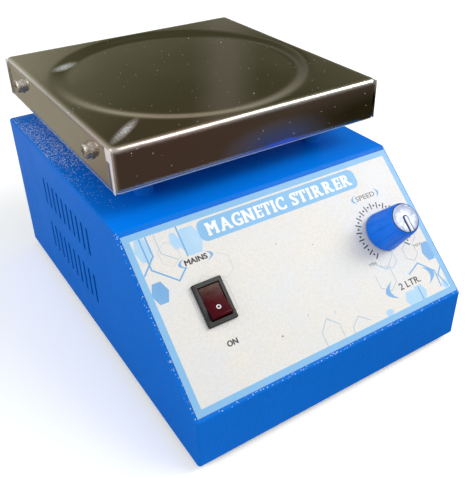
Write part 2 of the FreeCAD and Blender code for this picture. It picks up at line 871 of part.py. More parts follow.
def make_support():
    """Folded pan inside the plate's flanges and the posts that carry it."""
    body = new_body("support_pan")
    section = sketch_on(body, "XZ_Plane", "section")
    low = "-pan_drop"
    floor = "-pan_drop + pan_sheet"
    top = "-pan_drop + pan_high"
    outline(section, [
        ("-(pan_half)", low), ("pan_half", low), ("pan_half", top), ("pan_half - pan_sheet", top),
        ("pan_half - pan_sheet", floor), ("pan_sheet - pan_half", floor), ("pan_sheet - pan_half", top),
        ("-(pan_half)", top),
    ])
    pad(body, section, "plate_side - 2 * pan_end_gap", both=True)
    floor_holes = sketch_on(body, "XY_Plane", "floor_holes", at(z=low))
    circle(floor_holes, "0", "0", "pan_opening")
    for x in ("post_out", "-(post_out)"):
        for y in ("post_out", "-(post_out)"):
            circle(floor_holes, x, y, "large_hole")
    pocket(body, floor_holes, "4 * pan_sheet", both=True)
    side_holes = sketch_on(body, "YZ_Plane", "side_holes")
    for sign in "+-":
        circle(side_holes, f"{sign}(plate_side / 2 - side_screw_inset)", "-side_screw_drop", "large_thread / 2")
    pocket(body, side_holes, "plate_side", both=True)
    keep(body, at("0", "plate_y", "plate_z"))
    post = tube("post", "large_thread / 2", "post_radius", "0", "post_high")
    group("spacer_posts", post, [at(x, y, "roof_z") for x, y in post_places()])


def make_large_fasteners():
    """Screws and washers of the plate, the posts and the motor."""
    screw = pan_screw("plate_screw", "large_thread", "large_long", "large_head", "large_rise")
    washer = tube("plate_washer", "large_hole", "washer_wide / 2", "-washer_thick", "0")
    places = []
    for turn, sign in ((TO_LEFT, "-"), (TO_RIGHT, "")):
        for end in "+-":
            y = f"plate_y {end} (plate_side / 2 - side_screw_inset)"
            x = f"{sign}(plate_side / 2 + washer_thick)"
            places.append(at(x, y, "plate_z - side_screw_drop", turn))
    group("plate_screws", screw, places)
    group("plate_washers", washer, places)
    under = [at(x, y, "motor_z", UPSIDE_DOWN) for x, y in post_places()]
    over = [at(x, y, "plate_z - pan_drop + pan_sheet") for x, y in post_places()]
    group("post_screws", screw, under + over)
    short = pan_screw("motor_screw", "large_thread", "motor_screw_long", "large_head", "large_rise")
    group("motor_screws", short,
          [at(f"{sign}(motor_screw_out)", "plate_y", "motor_z + carrier_thick") for _, sign in SIDES])


# ---- drive ----

def make_motor_plate():
    """Square plate under the roof that carries the motor."""
    body = new_body("motor_plate")
    base = sketch_on(body, "XY_Plane", "base")
    side = "2 * (post_out + carrier_edge)"
    oblong(base, "0", "0", side, side)
    circle(base, "0", "0", "bearing_radius + panel_gap")
    for sign in ("", "-"):
        circle(base, f"{sign}(motor_screw_out)", "0", "large_hole")
        for other in ("", "-"):
            circle(base, f"{sign}(post_out)", f"{other}(post_out)", "large_hole")
    pad(body, base, "carrier_thick")
    keep(body, at("0", "plate_y", "motor_z"))


def make_motor_case():
    """Can, end cap and the two bearings."""
    where = at("0", "plate_y", "motor_z")
    can = turned("motor_can", [
        ("bearing_radius", "0"),
        ("motor_radius", "0"),
        ("motor_radius", "-motor_long"),
        ("motor_radius - motor_wall", "-motor_long"),
        ("motor_radius - motor_wall", "-motor_face"),
        ("bearing_radius", "-motor_face"),
    ])
    face = sketch_on(can, "XY_Plane", "face")
    for sign in ("", "-"):
        circle(face, f"{sign}(motor_screw_out)", "0", "large_thread / 2")
    pocket(can, face, "4 * motor_face", both=True)
    keep(can, where)
    spigot = "motor_radius - motor_wall"
    cap = turned("motor_end_cap", [
        ("rear_bearing_radius", "-(cap_end)"),
        ("motor_radius", "-(cap_end)"),
        ("motor_radius", "-motor_long"),
        (spigot, "-motor_long"),
        (spigot, "cap_spigot - motor_long"),
        (f"{spigot} - cap_spigot_wall", "cap_spigot - motor_long"),
        (f"{spigot} - cap_spigot_wall", "cap_floor - (cap_end)"),
        ("rear_bearing_radius", "cap_floor - (cap_end)"),
    ])
    keep(cap, where)
    front = turned("front_bearing", [
        ("shaft_hole", "0"),
        ("bearing_radius", "0"),
        ("bearing_radius", "-motor_face"),
        ("bearing_neck", "-motor_face"),
        ("bearing_neck", "-bearing_long"),
        ("shaft_hole", "-bearing_long"),
    ])
    rear = tube("rear_bearing", "shaft_hole", "rear_bearing_radius", "-(cap_end)", "cap_floor - (cap_end)")
    bearings = doc.addObject("Part::Compound", "motor_bearings")
    bearings.Links = [front, rear]
    keep(bearings, where)


def make_motor_field():
    """Two arc magnets inside the can."""
    magnet = new_body("field_magnet")
    half = sketch_on(magnet, "XZ_Plane", "half")
    inner = "armature_radius + field_gap"
    outer = "motor_radius - motor_wall"
    low = "-(armature_start + armature_long)"
    outline(half, [(inner, low), (outer, low), (outer, "-armature_start"), (inner, "-armature_start")])
    turn = magnet.newObject("PartDesign::Revolution", "field_magnet_turn")
    turn.Profile = half
    turn.ReferenceAxis = (half, ["V_Axis"])
    turn.Midplane = True
    bind(turn, "Angle", "field_angle")
    doc.recompute()
    group("field_magnets", magnet,
          [at("0", "plate_y", "motor_z", f"rotation(vector(0; 0; 1); {angle})") for angle in (90, 270)])


def make_motor_contacts():
    """Brushes that lie on the end cap's floor and the two tabs below it."""
    long = "motor_radius - motor_wall - cap_spigot_wall - commutator_radius - 3 * brush_gap"
    brush = block("brush", long, "brush_wide", "brush_high")
    out = f"(commutator_radius + brush_gap + ({long}) / 2)"
    level = "motor_z - (cap_end) + cap_floor"
    group("motor_brushes", brush, [at(f"{sign}{out}", "plate_y", level) for _, sign in SIDES])
    tab = block("motor_tab", "tab_thick", "tab_wide", "tab_long")
    group("motor_terminals", tab,
          [at(f"{sign}motor_tab_out", "plate_y", "motor_z - (cap_end) - tab_long") for _, sign in SIDES])


def make_spindle():
    """Turning parts of the motor: shaft, armature and commutator."""
    where = at("0", "plate_y", "motor_z")
    top = "bar_top_z - shaft_setback - motor_z"
    shaft = turned("motor_shaft", [
        ("0", "running_gap - (cap_end)"), ("shaft_radius", "running_gap - (cap_end)"),
        ("shaft_radius", top), ("0", top),
    ])
    keep(shaft, where)
    armature = tube("armature", "shaft_radius", "armature_radius",
                    "-(armature_start + armature_long)", "-armature_start")
    keep(armature, where)
    commutator = tube("commutator", "shaft_radius", "commutator_radius",
                      "-(commutator_start + commutator_long)", "-commutator_start")
    keep(commutator, where)


def make_magnet_bar():
    """Bar on the shaft with a magnet let into each end."""
    body = new_body("magnet_bar")
    plan = sketch_on(body, "XY_Plane", "plan")
    slot(plan, "0", "bar_wide / 2 - bar_long / 2", "bar_long / 2 - bar_wide / 2", "bar_wide / 2")
    pad(body, plan, "bar_thick", back=True)
    hub = sketch_on(body, "XY_Plane", "hub", at(z="-bar_thick"))
    circle(hub, "0", "0", "hub_radius")
    pad(body, hub, "hub_long", back=True)
    bore = sketch_on(body, "XY_Plane", "bore")
    circle(bore, "0", "0", "shaft_radius")
    pocket(body, bore, "bar_thick + hub_long")
    seats = sketch_on(body, "XY_Plane", "seats")
    for sign in ("", "-"):
        circle(seats, "0", f"{sign}magnet_out", "magnet_radius")
    pocket(body, seats, "magnet_thick")
    screw_z = "-bar_thick - hub_long / 2"
    side = sketch_on(body, "XZ_Plane", "grub")
    circle(side, "0", screw_z, "small_thread / 2")
    pocket(body, side, "2 * hub_radius", both=False)
    keep(body, at("0", "plate_y", "bar_top_z"))
    magnet = turned("bar_magnet", [
        ("0", "-magnet_thick"), ("magnet_radius", "-magnet_thick"), ("magnet_radius", "0"), ("0", "0"),
    ])
    group("bar_magnets", magnet, [at("0", f"plate_y {sign} magnet_out", "bar_top_z") for sign in "+-"])
    grub = turned("grub_screw", [
        ("0", "shaft_radius"), ("small_thread / 2", "shaft_radius"),
        ("small_thread / 2", "hub_radius - hole_gap"), ("0", "hub_radius - hole_gap"),
    ])
    keep(grub, at("0", "plate_y", f"bar_top_z + {screw_z}", TO_BACK))


# ---- switch ----

def make_switch():
    """Frame of the rocker switch, its rocker and its tabs."""
    frame = new_body("switch_frame")
    bezel = sketch_on(frame, "XY_Plane", "bezel")
    oblong(bezel, "0", "0", "bezel_wide", "bezel_long")
    pad(frame, bezel, "bezel_high")
    round_edges(frame, "bezel_edges", "bezel_round",
                lambda edge: is_upright(edge) or edge.BoundBox.ZMin > value("bezel_high") - NEAR)
    case = sketch_on(frame, "XY_Plane", "case")
    oblong(case, "0", "0", "case_wide", "case_long")
    pad(frame, case, "case_deep", back=True)
    well = sketch_on(frame, "XY_Plane", "well", at(z="bezel_high"))
    oblong(well, "0", "0", "well_wide", "well_long")
    pocket(frame, well, "bezel_high + well_deep")
    seats = sketch_on(frame, "YZ_Plane", "seats")
    circle(seats, "0", "0", "pin_radius + running_gap")
    pocket(frame, seats, "2 * (rocker_half + pin_reach + pin_end_gap)", both=True)
    keep(frame, on_slope("-switch_side", "switch_down", "label_thick"))

    rocker = new_body("rocker")
    round_end = sketch_on(rocker, "YZ_Plane", "ends")
    circle(round_end, "0", "0", "rocker_reach")
    pad(rocker, round_end, "2 * rocker_half", both=True)
    reach = "2 * rocker_reach"
    dip = "rocker_face / cos(rocker_tilt)"
    rise = f"{dip} + {reach} * tan(rocker_tilt)"
    faces = sketch_on(rocker, "YZ_Plane", "faces")
    outline(faces, [("0", dip), (reach, rise), (reach, f"2 * {reach}"), (f"-{reach}", f"2 * {reach}"),
                    (f"-{reach}", rise)])
    under = f"-rocker_under - {reach}"
    outline(faces, [(f"-{reach}", "-rocker_under"), (f"-{reach}", under), (reach, under), (reach, "-rocker_under")])
    pocket(rocker, faces, "3 * rocker_half", both=True)
    pins = sketch_on(rocker, "YZ_Plane", "pins")
    circle(pins, "0", "0", "pin_radius")
    pad(rocker, pins, "2 * (rocker_half + pin_reach)", both=True)
    pressed = "rotation(vector(1; 0; 0); slope_angle - rocker_tilt * 1 deg)"
    keep(rocker, on_slope("-switch_side", "switch_down", "label_thick", pressed))

    tab = block("switch_tab", "tab_wide", "tab_thick", "tab_long")
    out = "label_thick - case_deep - tab_long"
    places = [on_slope("-switch_side", f"switch_down {step}", out) for step in ("- tab_step", "", "+ tab_step")]
    group("switch_terminals", tab, places)


# ---- speed control ----

def make_speed_control():
    """Rotary control behind the slope, its bush, washer, nut and lugs."""
    where = on_slope("knob_side", "knob_down", "0")
    case = turned("control_case", [
        ("bush_radius", "panel_back"),
        ("pot_radius", "panel_back"),
        ("pot_radius", "panel_back - pot_deep"),
        ("0", "panel_back - pot_deep"),
        ("0", "panel_back - pot_deep + pot_floor"),
        ("spindle_hole", "panel_back - pot_deep + pot_floor"),
        ("spindle_hole", "panel_back - bush_seat"),
        ("bush_radius", "panel_back - bush_seat"),
    ])
    strip = sketch_on(case, "XY_Plane", "strip", at(z="panel_back - pot_deep / 2"))
    oblong(strip, "0", "(strip_reach + strip_start) / 2", "strip_wide", "strip_reach - strip_start")
    pad(case, strip, "strip_deep", both=True)
    keep(case, where)
    keep(tube("control_bush", "spindle_hole", "bush_radius", "panel_back - bush_seat", "bush_rise"), where)
    keep(tube("bush_washer", "bush_hole", "bush_washer_radius", "label_thick", "washer_top"), where)
    nut = hex_nut("bush_nut", "bush_nut_across", "bush_nut_high", "bush_radius")
    keep(nut, on_slope("knob_side", "knob_down", "washer_top"))
    lug = block("control_lug", "lug_wide", "lug_long", "tab_thick")
    up = "knob_down - strip_reach - lug_long / 2"
    level = "panel_back - pot_deep / 2 - tab_thick / 2"
    group("control_lugs", lug,
          [on_slope(f"knob_side {step}", up, level) for step in ("- lug_step", "", "+ lug_step")])


def make_knob():
    """Knob and everything that turns with it, the pointer towards the bottom of the slope."""
    where = on_slope("knob_side", "knob_down", "0")
    low = "panel_back - pot_deep + pot_floor + running_gap"
    spindle = turned("control_shaft", [
        ("0", low), ("spindle_radius", low), ("spindle_radius", "spindle_rise"), ("0", "spindle_rise"),
    ])
    keep(spindle, where)
    knob = turned("knob", [
        ("knob_skirt_radius", "knob_base"),
        ("knob_radius", "knob_base"),
        ("knob_top_radius", "knob_top"),
        ("disc_radius", "knob_top"),
        ("disc_radius", "disc_base"),
        ("0", "disc_base"),
        ("0", "knob_ceiling + insert_long"),
        ("insert_radius", "knob_ceiling + insert_long"),
        ("insert_radius", "knob_ceiling"),
        ("knob_skirt_radius", "knob_ceiling"),
    ])
    round_edges(knob, "crown", "knob_round", lambda edge: is_circle(edge, "knob_top_radius", "knob_top"))
    keep(knob, where)
    insert = turned("knob_insert", [
        ("spindle_radius", "knob_ceiling"), ("insert_radius", "knob_ceiling"),
        ("insert_radius", "knob_ceiling + insert_long"), ("0", "knob_ceiling + insert_long"),
        ("0", "spindle_rise"), ("spindle_radius", "spindle_rise"),
    ])
    keep(insert, where)
    disc = turned("knob_cap", [
        ("0", "disc_base"), ("disc_radius", "disc_base"), ("disc_radius", "disc_top"), ("0", "disc_top"),
    ])
    keep(disc, where)
    pointer = new_body("knob_pointer")
    bar = sketch_on(pointer, "XY_Plane", "bar", at(z="disc_top"))
    far = "disc_radius - pointer_inset"
    oblong(bar, "0", f"(pointer_tail - ({far})) / 2", "pointer_wide", f"{far} + pointer_tail")
    pad(pointer, bar, "pointer_high")
    keep(pointer, where)


# ---- electronics ----

def make_board():
    """Circuit board on its standoffs."""
    body = new_body("circuit_board")
    base = sketch_on(body, "XY_Plane", "base", at(z="board_z"))
    oblong(base, "board_x", "board_y", "board_wide", "board_deep")
    for x, y in board_places():
        circle(base, x, y, "small_hole")
    pad(body, base, "board_thick")
    keep(body)
    standoff = tube("standoff", "small_thread / 2", "standoff_radius", "0", "standoff_high")
    group("board_standoffs", standoff, [at(x, y, "floor_z") for x, y in board_places()])


def on_board(across, back, up="0", turn=UPRIGHT):
    """Placement formula on the board's top, from its centre."""
    return at(f"board_x + ({across})", f"board_y + ({back})", f"board_top + ({up})", turn)


def make_heat_sink():
    """Finned heat sink with the power switch against its flat back."""
    sink = new_body("heat_sink")
    comb = sketch_on(sink, "XY_Plane", "comb")
    fins = 5
    gap = f"((sink_wide - {fins} * fin_thick) / {fins - 1})"
    corners = [("-sink_wide / 2", "0"), ("sink_wide / 2", "0")]
    for number in range(fins):
        right = f"sink_wide / 2 - {number} * (fin_thick + {gap})"
        left = f"{right} - fin_thick"
        if number:
            corners.append((right, "sink_web"))
        corners += [(right, "sink_deep"), (left, "sink_deep")]
        if number < fins - 1:
            corners.append((left, "sink_web"))
    outline(comb, corners)
    pad(sink, comb, "sink_high")
    keep(sink, on_board("sink_x", "sink_y"))
    triac = block("triac", "triac_wide", "triac_thick", "triac_high")
    keep(triac, on_board("sink_x", "sink_y - triac_thick / 2"))


def make_components():
    """Rectifier, capacitor, choke, fuse with its clips and terminal block."""
    make_heat_sink()
    keep(block("bridge_rectifier", "bridge_wide", "bridge_thick", "bridge_high"), on_board("bridge_x", "bridge_y"))
    capacitor = doc.addObject("Part::Cylinder", "filter_capacitor")
    bind(capacitor, "Radius", "capacitor_radius")
    bind(capacitor, "Height", "capacitor_high")
    keep(capacitor, on_board("capacitor_x", "capacitor_y"))
    choke = turned("choke", [
        ("choke_hole + choke_bevel", "0"), ("choke_outer - choke_bevel", "0"),
        ("choke_outer", "choke_bevel"), ("choke_outer", "choke_high - choke_bevel"),
        ("choke_outer - choke_bevel", "choke_high"), ("choke_hole + choke_bevel", "choke_high"),
        ("choke_hole", "choke_high - choke_bevel"), ("choke_hole", "choke_bevel"),
    ])
    keep(choke, on_board("choke_x", "choke_y"))
    lift = "fuse_radius + clip_wall"
    fuse = doc.addObject("Part::Cylinder", "fuse")
    bind(fuse, "Radius", "fuse_radius")
    bind(fuse, "Height", "fuse_long")
    keep(fuse, on_board("fuse_x - fuse_long / 2", "fuse_y", lift, TO_RIGHT))
    clip = new_body("fuse_clip")
    section = sketch_on(clip, "YZ_Plane", "section")
    outer = "fuse_radius + clip_wall"
    outline(section, [
        (f"-({outer})", "0"), (outer, "0"), (outer, outer), ("fuse_radius", outer),
        ("fuse_radius", "clip_wall"), ("-fuse_radius", "clip_wall"), ("-fuse_radius", outer),
        (f"-({outer})", outer),
    ])
    pad(clip, section, "clip_long", both=True)
    out = "(fuse_long / 2 - clip_long / 2)"
    group("fuse_clips", clip, [on_board(f"fuse_x {sign} {out}", "fuse_y") for sign in "+-"])
    keep(block("terminal_block", "block_wide", "block_deep", "block_high"), on_board("block_x", "block_y"))


def make_inlet():
    """Mains inlet: flange outside the back, case inside, open socket with three pins."""
    where = at("inlet_x", "back_y", "inlet_z", TO_BACK)
    body = new_body("inlet_body")
    flange = sketch_on(body, "XY_Plane", "flange")
    oblong(flange, "0", "0", "flange_wide", "flange_high")
    pad(body, flange, "flange_thick")
    round_edges(body, "corners", "flange_corner", is_upright)
    case = sketch_on(body, "XY_Plane", "case")
    oblong(case, "0", "0", "inlet_wide", "inlet_tall")
    pad(body, case, "inlet_deep", back=True)
    socket = sketch_on(body, "XY_Plane", "socket", at(z="flange_thick"))
    half = "socket_wide / 2"
    tall = "socket_tall / 2"
    cut = "socket_tall / 4"
    outline(socket, [
        (f"-{half}", f"-{tall} + {cut}"), (f"-{half} + {cut}", f"-{tall}"), (f"{half} - {cut}", f"-{tall}"),
        (half, f"-{tall} + {cut}"), (half, tall), (f"-{half}", tall),
    ])
    pocket(body, socket, "socket_deep")
    holes = sketch_on(body, "XY_Plane", "holes", at(z="flange_thick"))
    for sign in ("", "-"):
        circle(holes, f"{sign}inlet_screw_out", "0", "small_hole")
    pocket(body, holes, "2 * flange_thick", both=True)
    slits = sketch_on(body, "XY_Plane", "slits", at(z="-inlet_deep"))
    spots = (("-pin_step", "earth_rise / 2"), ("0", "-earth_rise / 2"), ("pin_step", "earth_rise / 2"))
    for x, y in spots:
        oblong(slits, x, y, "pin_wide", "pin_tall")
    pocket(body, slits, "inlet_deep", back=True)
    keep(body, where)
    pin = block("inlet_pin", "pin_wide", "pin_tall", "flange_thick + inlet_deep + pin_tail - pin_mouth")
    low = "back_y - inlet_deep - pin_tail"
    group("inlet_pins", pin, [at(f"inlet_x + {x}", low, f"inlet_z - ({y})", TO_BACK) for x, y in spots])


# ---- leads ----

def spot(x, y, z):
    """Point of a lead's route from three formulas."""
    return Vector(value(x), value(y), value(z))


def slope_spot(x, down, out):
    """Point of a lead's route measured on the sloping face."""
    return spot(x, *slope_place(down, out))


def lead(route):
    """Round wire along straight runs that are joined by arcs as large as the runs allow."""
    edges = []
    start = route[0]
    for before, corner, after in zip(route, route[1:], route[2:]):
        inward = (corner - before).normalize()
        onward = (after - corner).normalize()
        turn = inward.getAngle(onward)
        back = BEND_SHARE * min((corner - before).Length, (after - corner).Length)
        radius = back / math.tan(turn / 2)
        bisector = (onward - inward).normalize()
        bulge = math.sqrt(radius ** 2 + back ** 2) - radius
        first = corner - inward * back
        last = corner + onward * back
        edges.append(Part.LineSegment(start, first).toShape())
        edges.append(Part.Arc(first, corner + bisector * bulge, last).toShape())
        start = last
    edges.append(Part.LineSegment(start, route[-1]).toShape())
    path = Part.Wire(edges)
    heading = (route[1] - route[0]).normalize()
    section = Part.Wire(Part.makeCircle(value("lead_radius"), route[0], heading))
    wire = path.makePipeShell([section], True, True)
    expected = math.pi * value("lead_radius") ** 2 * path.Length
    if not wire.isValid() or abs(wire.Volume / expected - 1) > SWEEP_ERROR:
        raise RuntimeError("a lead's sweep is not sound")
    return wire


def add_leads(label, routes):
    """One sub-part made of a few leads side by side."""
    piece = doc.addObject("Part::Feature", label)
    piece.Shape = Part.makeCompound([lead(route) for route in routes])
    piece.Placement = FreeCAD.Placement()
    keep(piece)


def block_end(place):
    """Last two points of a lead that comes down into the terminal block."""
    x = f"board_x + block_x + {place} * lead_step"
    y = "board_y + block_y"
    top = "board_top + block_high"
    return [spot(x, y, f"{top} + lead_drop"), spot(x, y, top)]


def make_leads():
    """Leads from the inlet and the switch to the block, and from the board to control and motor."""
    routes = []
    for step, place, lane in (("pin_step", 1, 0), ("-pin_step", 0, 1)):
        level = "inlet_z - earth_rise / 2"
        side = f"-(motor_radius + lead_corridor + {lane} * lead_step)"
        turn_y = f"plate_y - motor_radius - lead_corridor - {lane} * lead_step / 2"
        over = f"board_x + block_x + {place} * lead_step"
        routes.append([
            spot(f"inlet_x + {step}", "back_y - inlet_deep - pin_tail", level),
            spot(f"inlet_x + {step}", f"back_y - inlet_deep - pin_tail - lead_exit - {lane} * lead_step", level),
            spot(side, "plate_y", level),
            spot(side, turn_y, level),
            spot(over, "board_y + block_y + block_deep", "board_top + block_high + lead_arch"),
        ] + block_end(place))
    add_leads("mains_leads", routes)

    routes = []
    tip = "label_thick - case_deep - tab_long"
    for down, place in (("switch_down + tab_step", -2), ("switch_down", -1)):
        routes.append([
            slope_spot("-switch_side", down, tip),
            slope_spot("-switch_side", down, f"{tip} - lead_exit"),
        ] + block_end(place))
    add_leads("switch_leads", routes)

    routes = []
    up = "knob_down - strip_reach - lug_long"
    level = "panel_back - pot_deep / 2"
    for number, step in enumerate(("-lug_step", "0", "lug_step")):
        x = f"board_x + board_wide / 2 - {3 - number} * lead_pitch"
        y = "board_y + board_hole_inset + lead_exit"
        routes.append([
            slope_spot(f"knob_side + {step}", up, level),
            slope_spot(f"knob_side + {step}", f"{up} - lead_exit", level),
            spot(x, y, "roof_z - apron_high"),
            spot(x, y, "board_top"),
        ])
    add_leads("speed_leads", routes)

    routes = []
    tab_end = "motor_z - (cap_end) - tab_long"
    low = "floor_z + lead_floor"
    for sign, lane in (("", 0), ("-", 1)):
        x = f"board_x + board_wide / 2 - board_side - (2 + {lane}) * lead_step"
        edge = "board_y + board_deep / 2"
        routes.append([
            spot(f"{sign}motor_tab_out", "plate_y", tab_end),
            spot(f"{sign}motor_tab_out", "plate_y", low),
            spot(x, f"{edge} + lead_arch", low),
            spot(x, f"{edge} + lead_step", "board_top + lead_drop"),
            spot(x, f"{edge} - lead_pitch", "board_top + lead_drop"),
            spot(x, f"{edge} - lead_pitch", "board_top"),
        ])
    add_leads("motor_leads", routes)


# ---- checks and files ----

def check_document():
    """Stop if any object failed or any sub-part has no sound solid."""
    doc.recompute()
    for item in doc.Objects:
        if any(state in ("Invalid", "Error") for state in item.State):
            raise RuntimeError(f"{item.Label} failed: {item.State}")
    for piece in subparts:
        shape = piece.Shape
        if shape.isNull() or not shape.isValid() or not shape.Solids:
            raise RuntimeError(f"{piece.Label} has no sound solid")


def write_parts():
    """Write each sub-part to its own file."""
    os.makedirs("parts", exist_ok=True)
    for piece in subparts:
        piece.Shape.exportStep(f"parts/{piece.Label}.step")


make_housing()
make_base_plate()
make_feet()
make_small_fasteners()
make_label()
make_top_plate()
make_support()
make_large_fasteners()
make_motor_plate()
make_motor_case()
make_motor_field()
make_motor_contacts()
make_spindle()
make_magnet_bar()
make_switch()
make_speed_control()
make_knob()
make_board()
make_components()
make_inlet()
make_leads()
check_document()
write_parts()
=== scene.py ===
import json
import math

import bmesh
import bpy
from bpy.props import FloatProperty, FloatVectorProperty, PointerProperty
from mathutils import Matrix, Vector
from mathutils.bvhtree import BVHTree


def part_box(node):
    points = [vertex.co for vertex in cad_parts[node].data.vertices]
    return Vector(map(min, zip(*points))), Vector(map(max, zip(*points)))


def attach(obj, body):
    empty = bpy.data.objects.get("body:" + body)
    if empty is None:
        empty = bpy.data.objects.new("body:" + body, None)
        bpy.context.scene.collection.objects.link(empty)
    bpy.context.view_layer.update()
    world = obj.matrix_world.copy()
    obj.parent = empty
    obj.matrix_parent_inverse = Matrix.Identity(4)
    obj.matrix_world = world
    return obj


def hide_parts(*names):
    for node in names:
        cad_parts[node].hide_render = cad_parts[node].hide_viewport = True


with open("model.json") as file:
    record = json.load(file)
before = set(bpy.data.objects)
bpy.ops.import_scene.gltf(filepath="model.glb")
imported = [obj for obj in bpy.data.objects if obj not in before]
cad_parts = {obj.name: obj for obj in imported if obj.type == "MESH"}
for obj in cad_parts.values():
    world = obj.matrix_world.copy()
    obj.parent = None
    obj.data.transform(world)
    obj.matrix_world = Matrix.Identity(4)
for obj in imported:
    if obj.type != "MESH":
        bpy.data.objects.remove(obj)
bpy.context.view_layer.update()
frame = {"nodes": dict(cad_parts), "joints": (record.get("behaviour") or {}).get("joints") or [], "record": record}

bl_info = {
    "name": "Magnetic Stirrer",
    "version": (1, 0, 0),
    "blender": (4, 5, 0),
    "location": "View3D > Sidebar > Stirrer",
    "description": "Finishes and small parts of a bench-top magnetic stirrer around its CAD frame",
    "category": "Object",
}

MM = 0.001
JOINTS = {joint["name"]: joint for joint in frame["joints"]}
BODY = "stirrer"
KNOB_BODY = "speed_knob"
ROCKER_BODY = "rocker"


def slope_frame():
    """Place of the sloping face, in millimetres: x along it, y up it, z out of it, from its top edge."""
    hinge = JOINTS["knob_turn"]
    out = Vector(hinge["axis"])
    right = Vector((1, 0, 0))
    up = out.cross(right)
    pivot = Vector(hinge["pos_m"])
    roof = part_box("housing")[1].z
    start = pivot + up * ((roof - pivot.z) / up.z)
    start.x = 0
    turn = Matrix((right, up, out)).transposed().to_4x4()
    return Matrix.Translation(start) @ turn @ Matrix.Scale(MM, 4)


SLOPE = slope_frame()
# Height of the label's printed side above the sloping face, in millimetres.
LABEL_TOP = 0.4


def on_slope(x, down, out):
    """Place on the sloping face: millimetres across it, down it and out of it."""
    return SLOPE @ Matrix.Translation((x, -down, out))


def pivot_spot(joint):
    """Point of a joint as seen from the sloping face, in millimetres across it, up it and out of it."""
    return SLOPE.inverted() @ Vector(JOINTS[joint]["pos_m"])


def pivot_place(joint):
    """Place of a joint, turned as the sloping face is, in millimetres."""
    return SLOPE @ Matrix.Translation(pivot_spot(joint))


# ---- sizes and colours that a user may change ----

def length(label, text, default):
    return FloatProperty(name=label, description=text, default=default, min=0.0, unit="LENGTH")


def colour(label, text, default):
    return FloatVectorProperty(name=label, description=text, default=default, size=3, min=0.0, max=1.0,
                               subtype="COLOR")


class StirrerSizes(bpy.types.PropertyGroup):
    """Sizes of the small parts that are made here"""

    ink_thick: length("Ink thickness", "How far the print stands above the label", 0.03 * MM)
    border_wide: length("Border width", "Width of the pale blue border of the label", 3.0 * MM)
    title_high: length("Title height", "Height of the capitals of the title", 6.6 * MM)
    caption_high: length("Caption height", "Height of the capitals beside the controls", 2.6 * MM)
    scale_radius: length("Scale radius", "Middle radius of the ring of marks around the knob", 14.7 * MM)
    mark_long: length("Mark length", "Length of a line of the speed scale", 2.9 * MM)
    mark_wide: length("Mark width", "Width of a line of the speed scale", 0.62 * MM)
    flute_deep: length("Flute depth", "Depth of the grooves down the knob", 0.5 * MM)
    rocker_round: length("Rocker rounding", "Rounding of the edges of the rocker", 0.5 * MM)


class StirrerColours(bpy.types.PropertyGroup):
    """Colours of the finishes"""

    paint: colour("Housing paint", "Powder coat of the housing", (0.0, 0.166, 0.70))
    knob: colour("Knob", "Moulded blue of the knob", (0.001, 0.205, 0.95))
    border: colour("Border ink", "Pale blue ink of the label", (0.205, 0.465, 0.745))
    ground: colour("Label ground", "Off-white of the label", (0.735, 0.715, 0.685))
    rocker: colour("Rocker", "Dark red of the rocker", (0.044, 0.0, 0.003))
    steel: colour("Plate steel", "Stainless steel of the stirring plate", (0.60, 0.57, 0.51))


# ---- node building ----

def socket_name(label):
    """Name of a socket, from a keyword such as base_color."""
    return label.replace("_", " ").title().replace("Ior", "IOR")


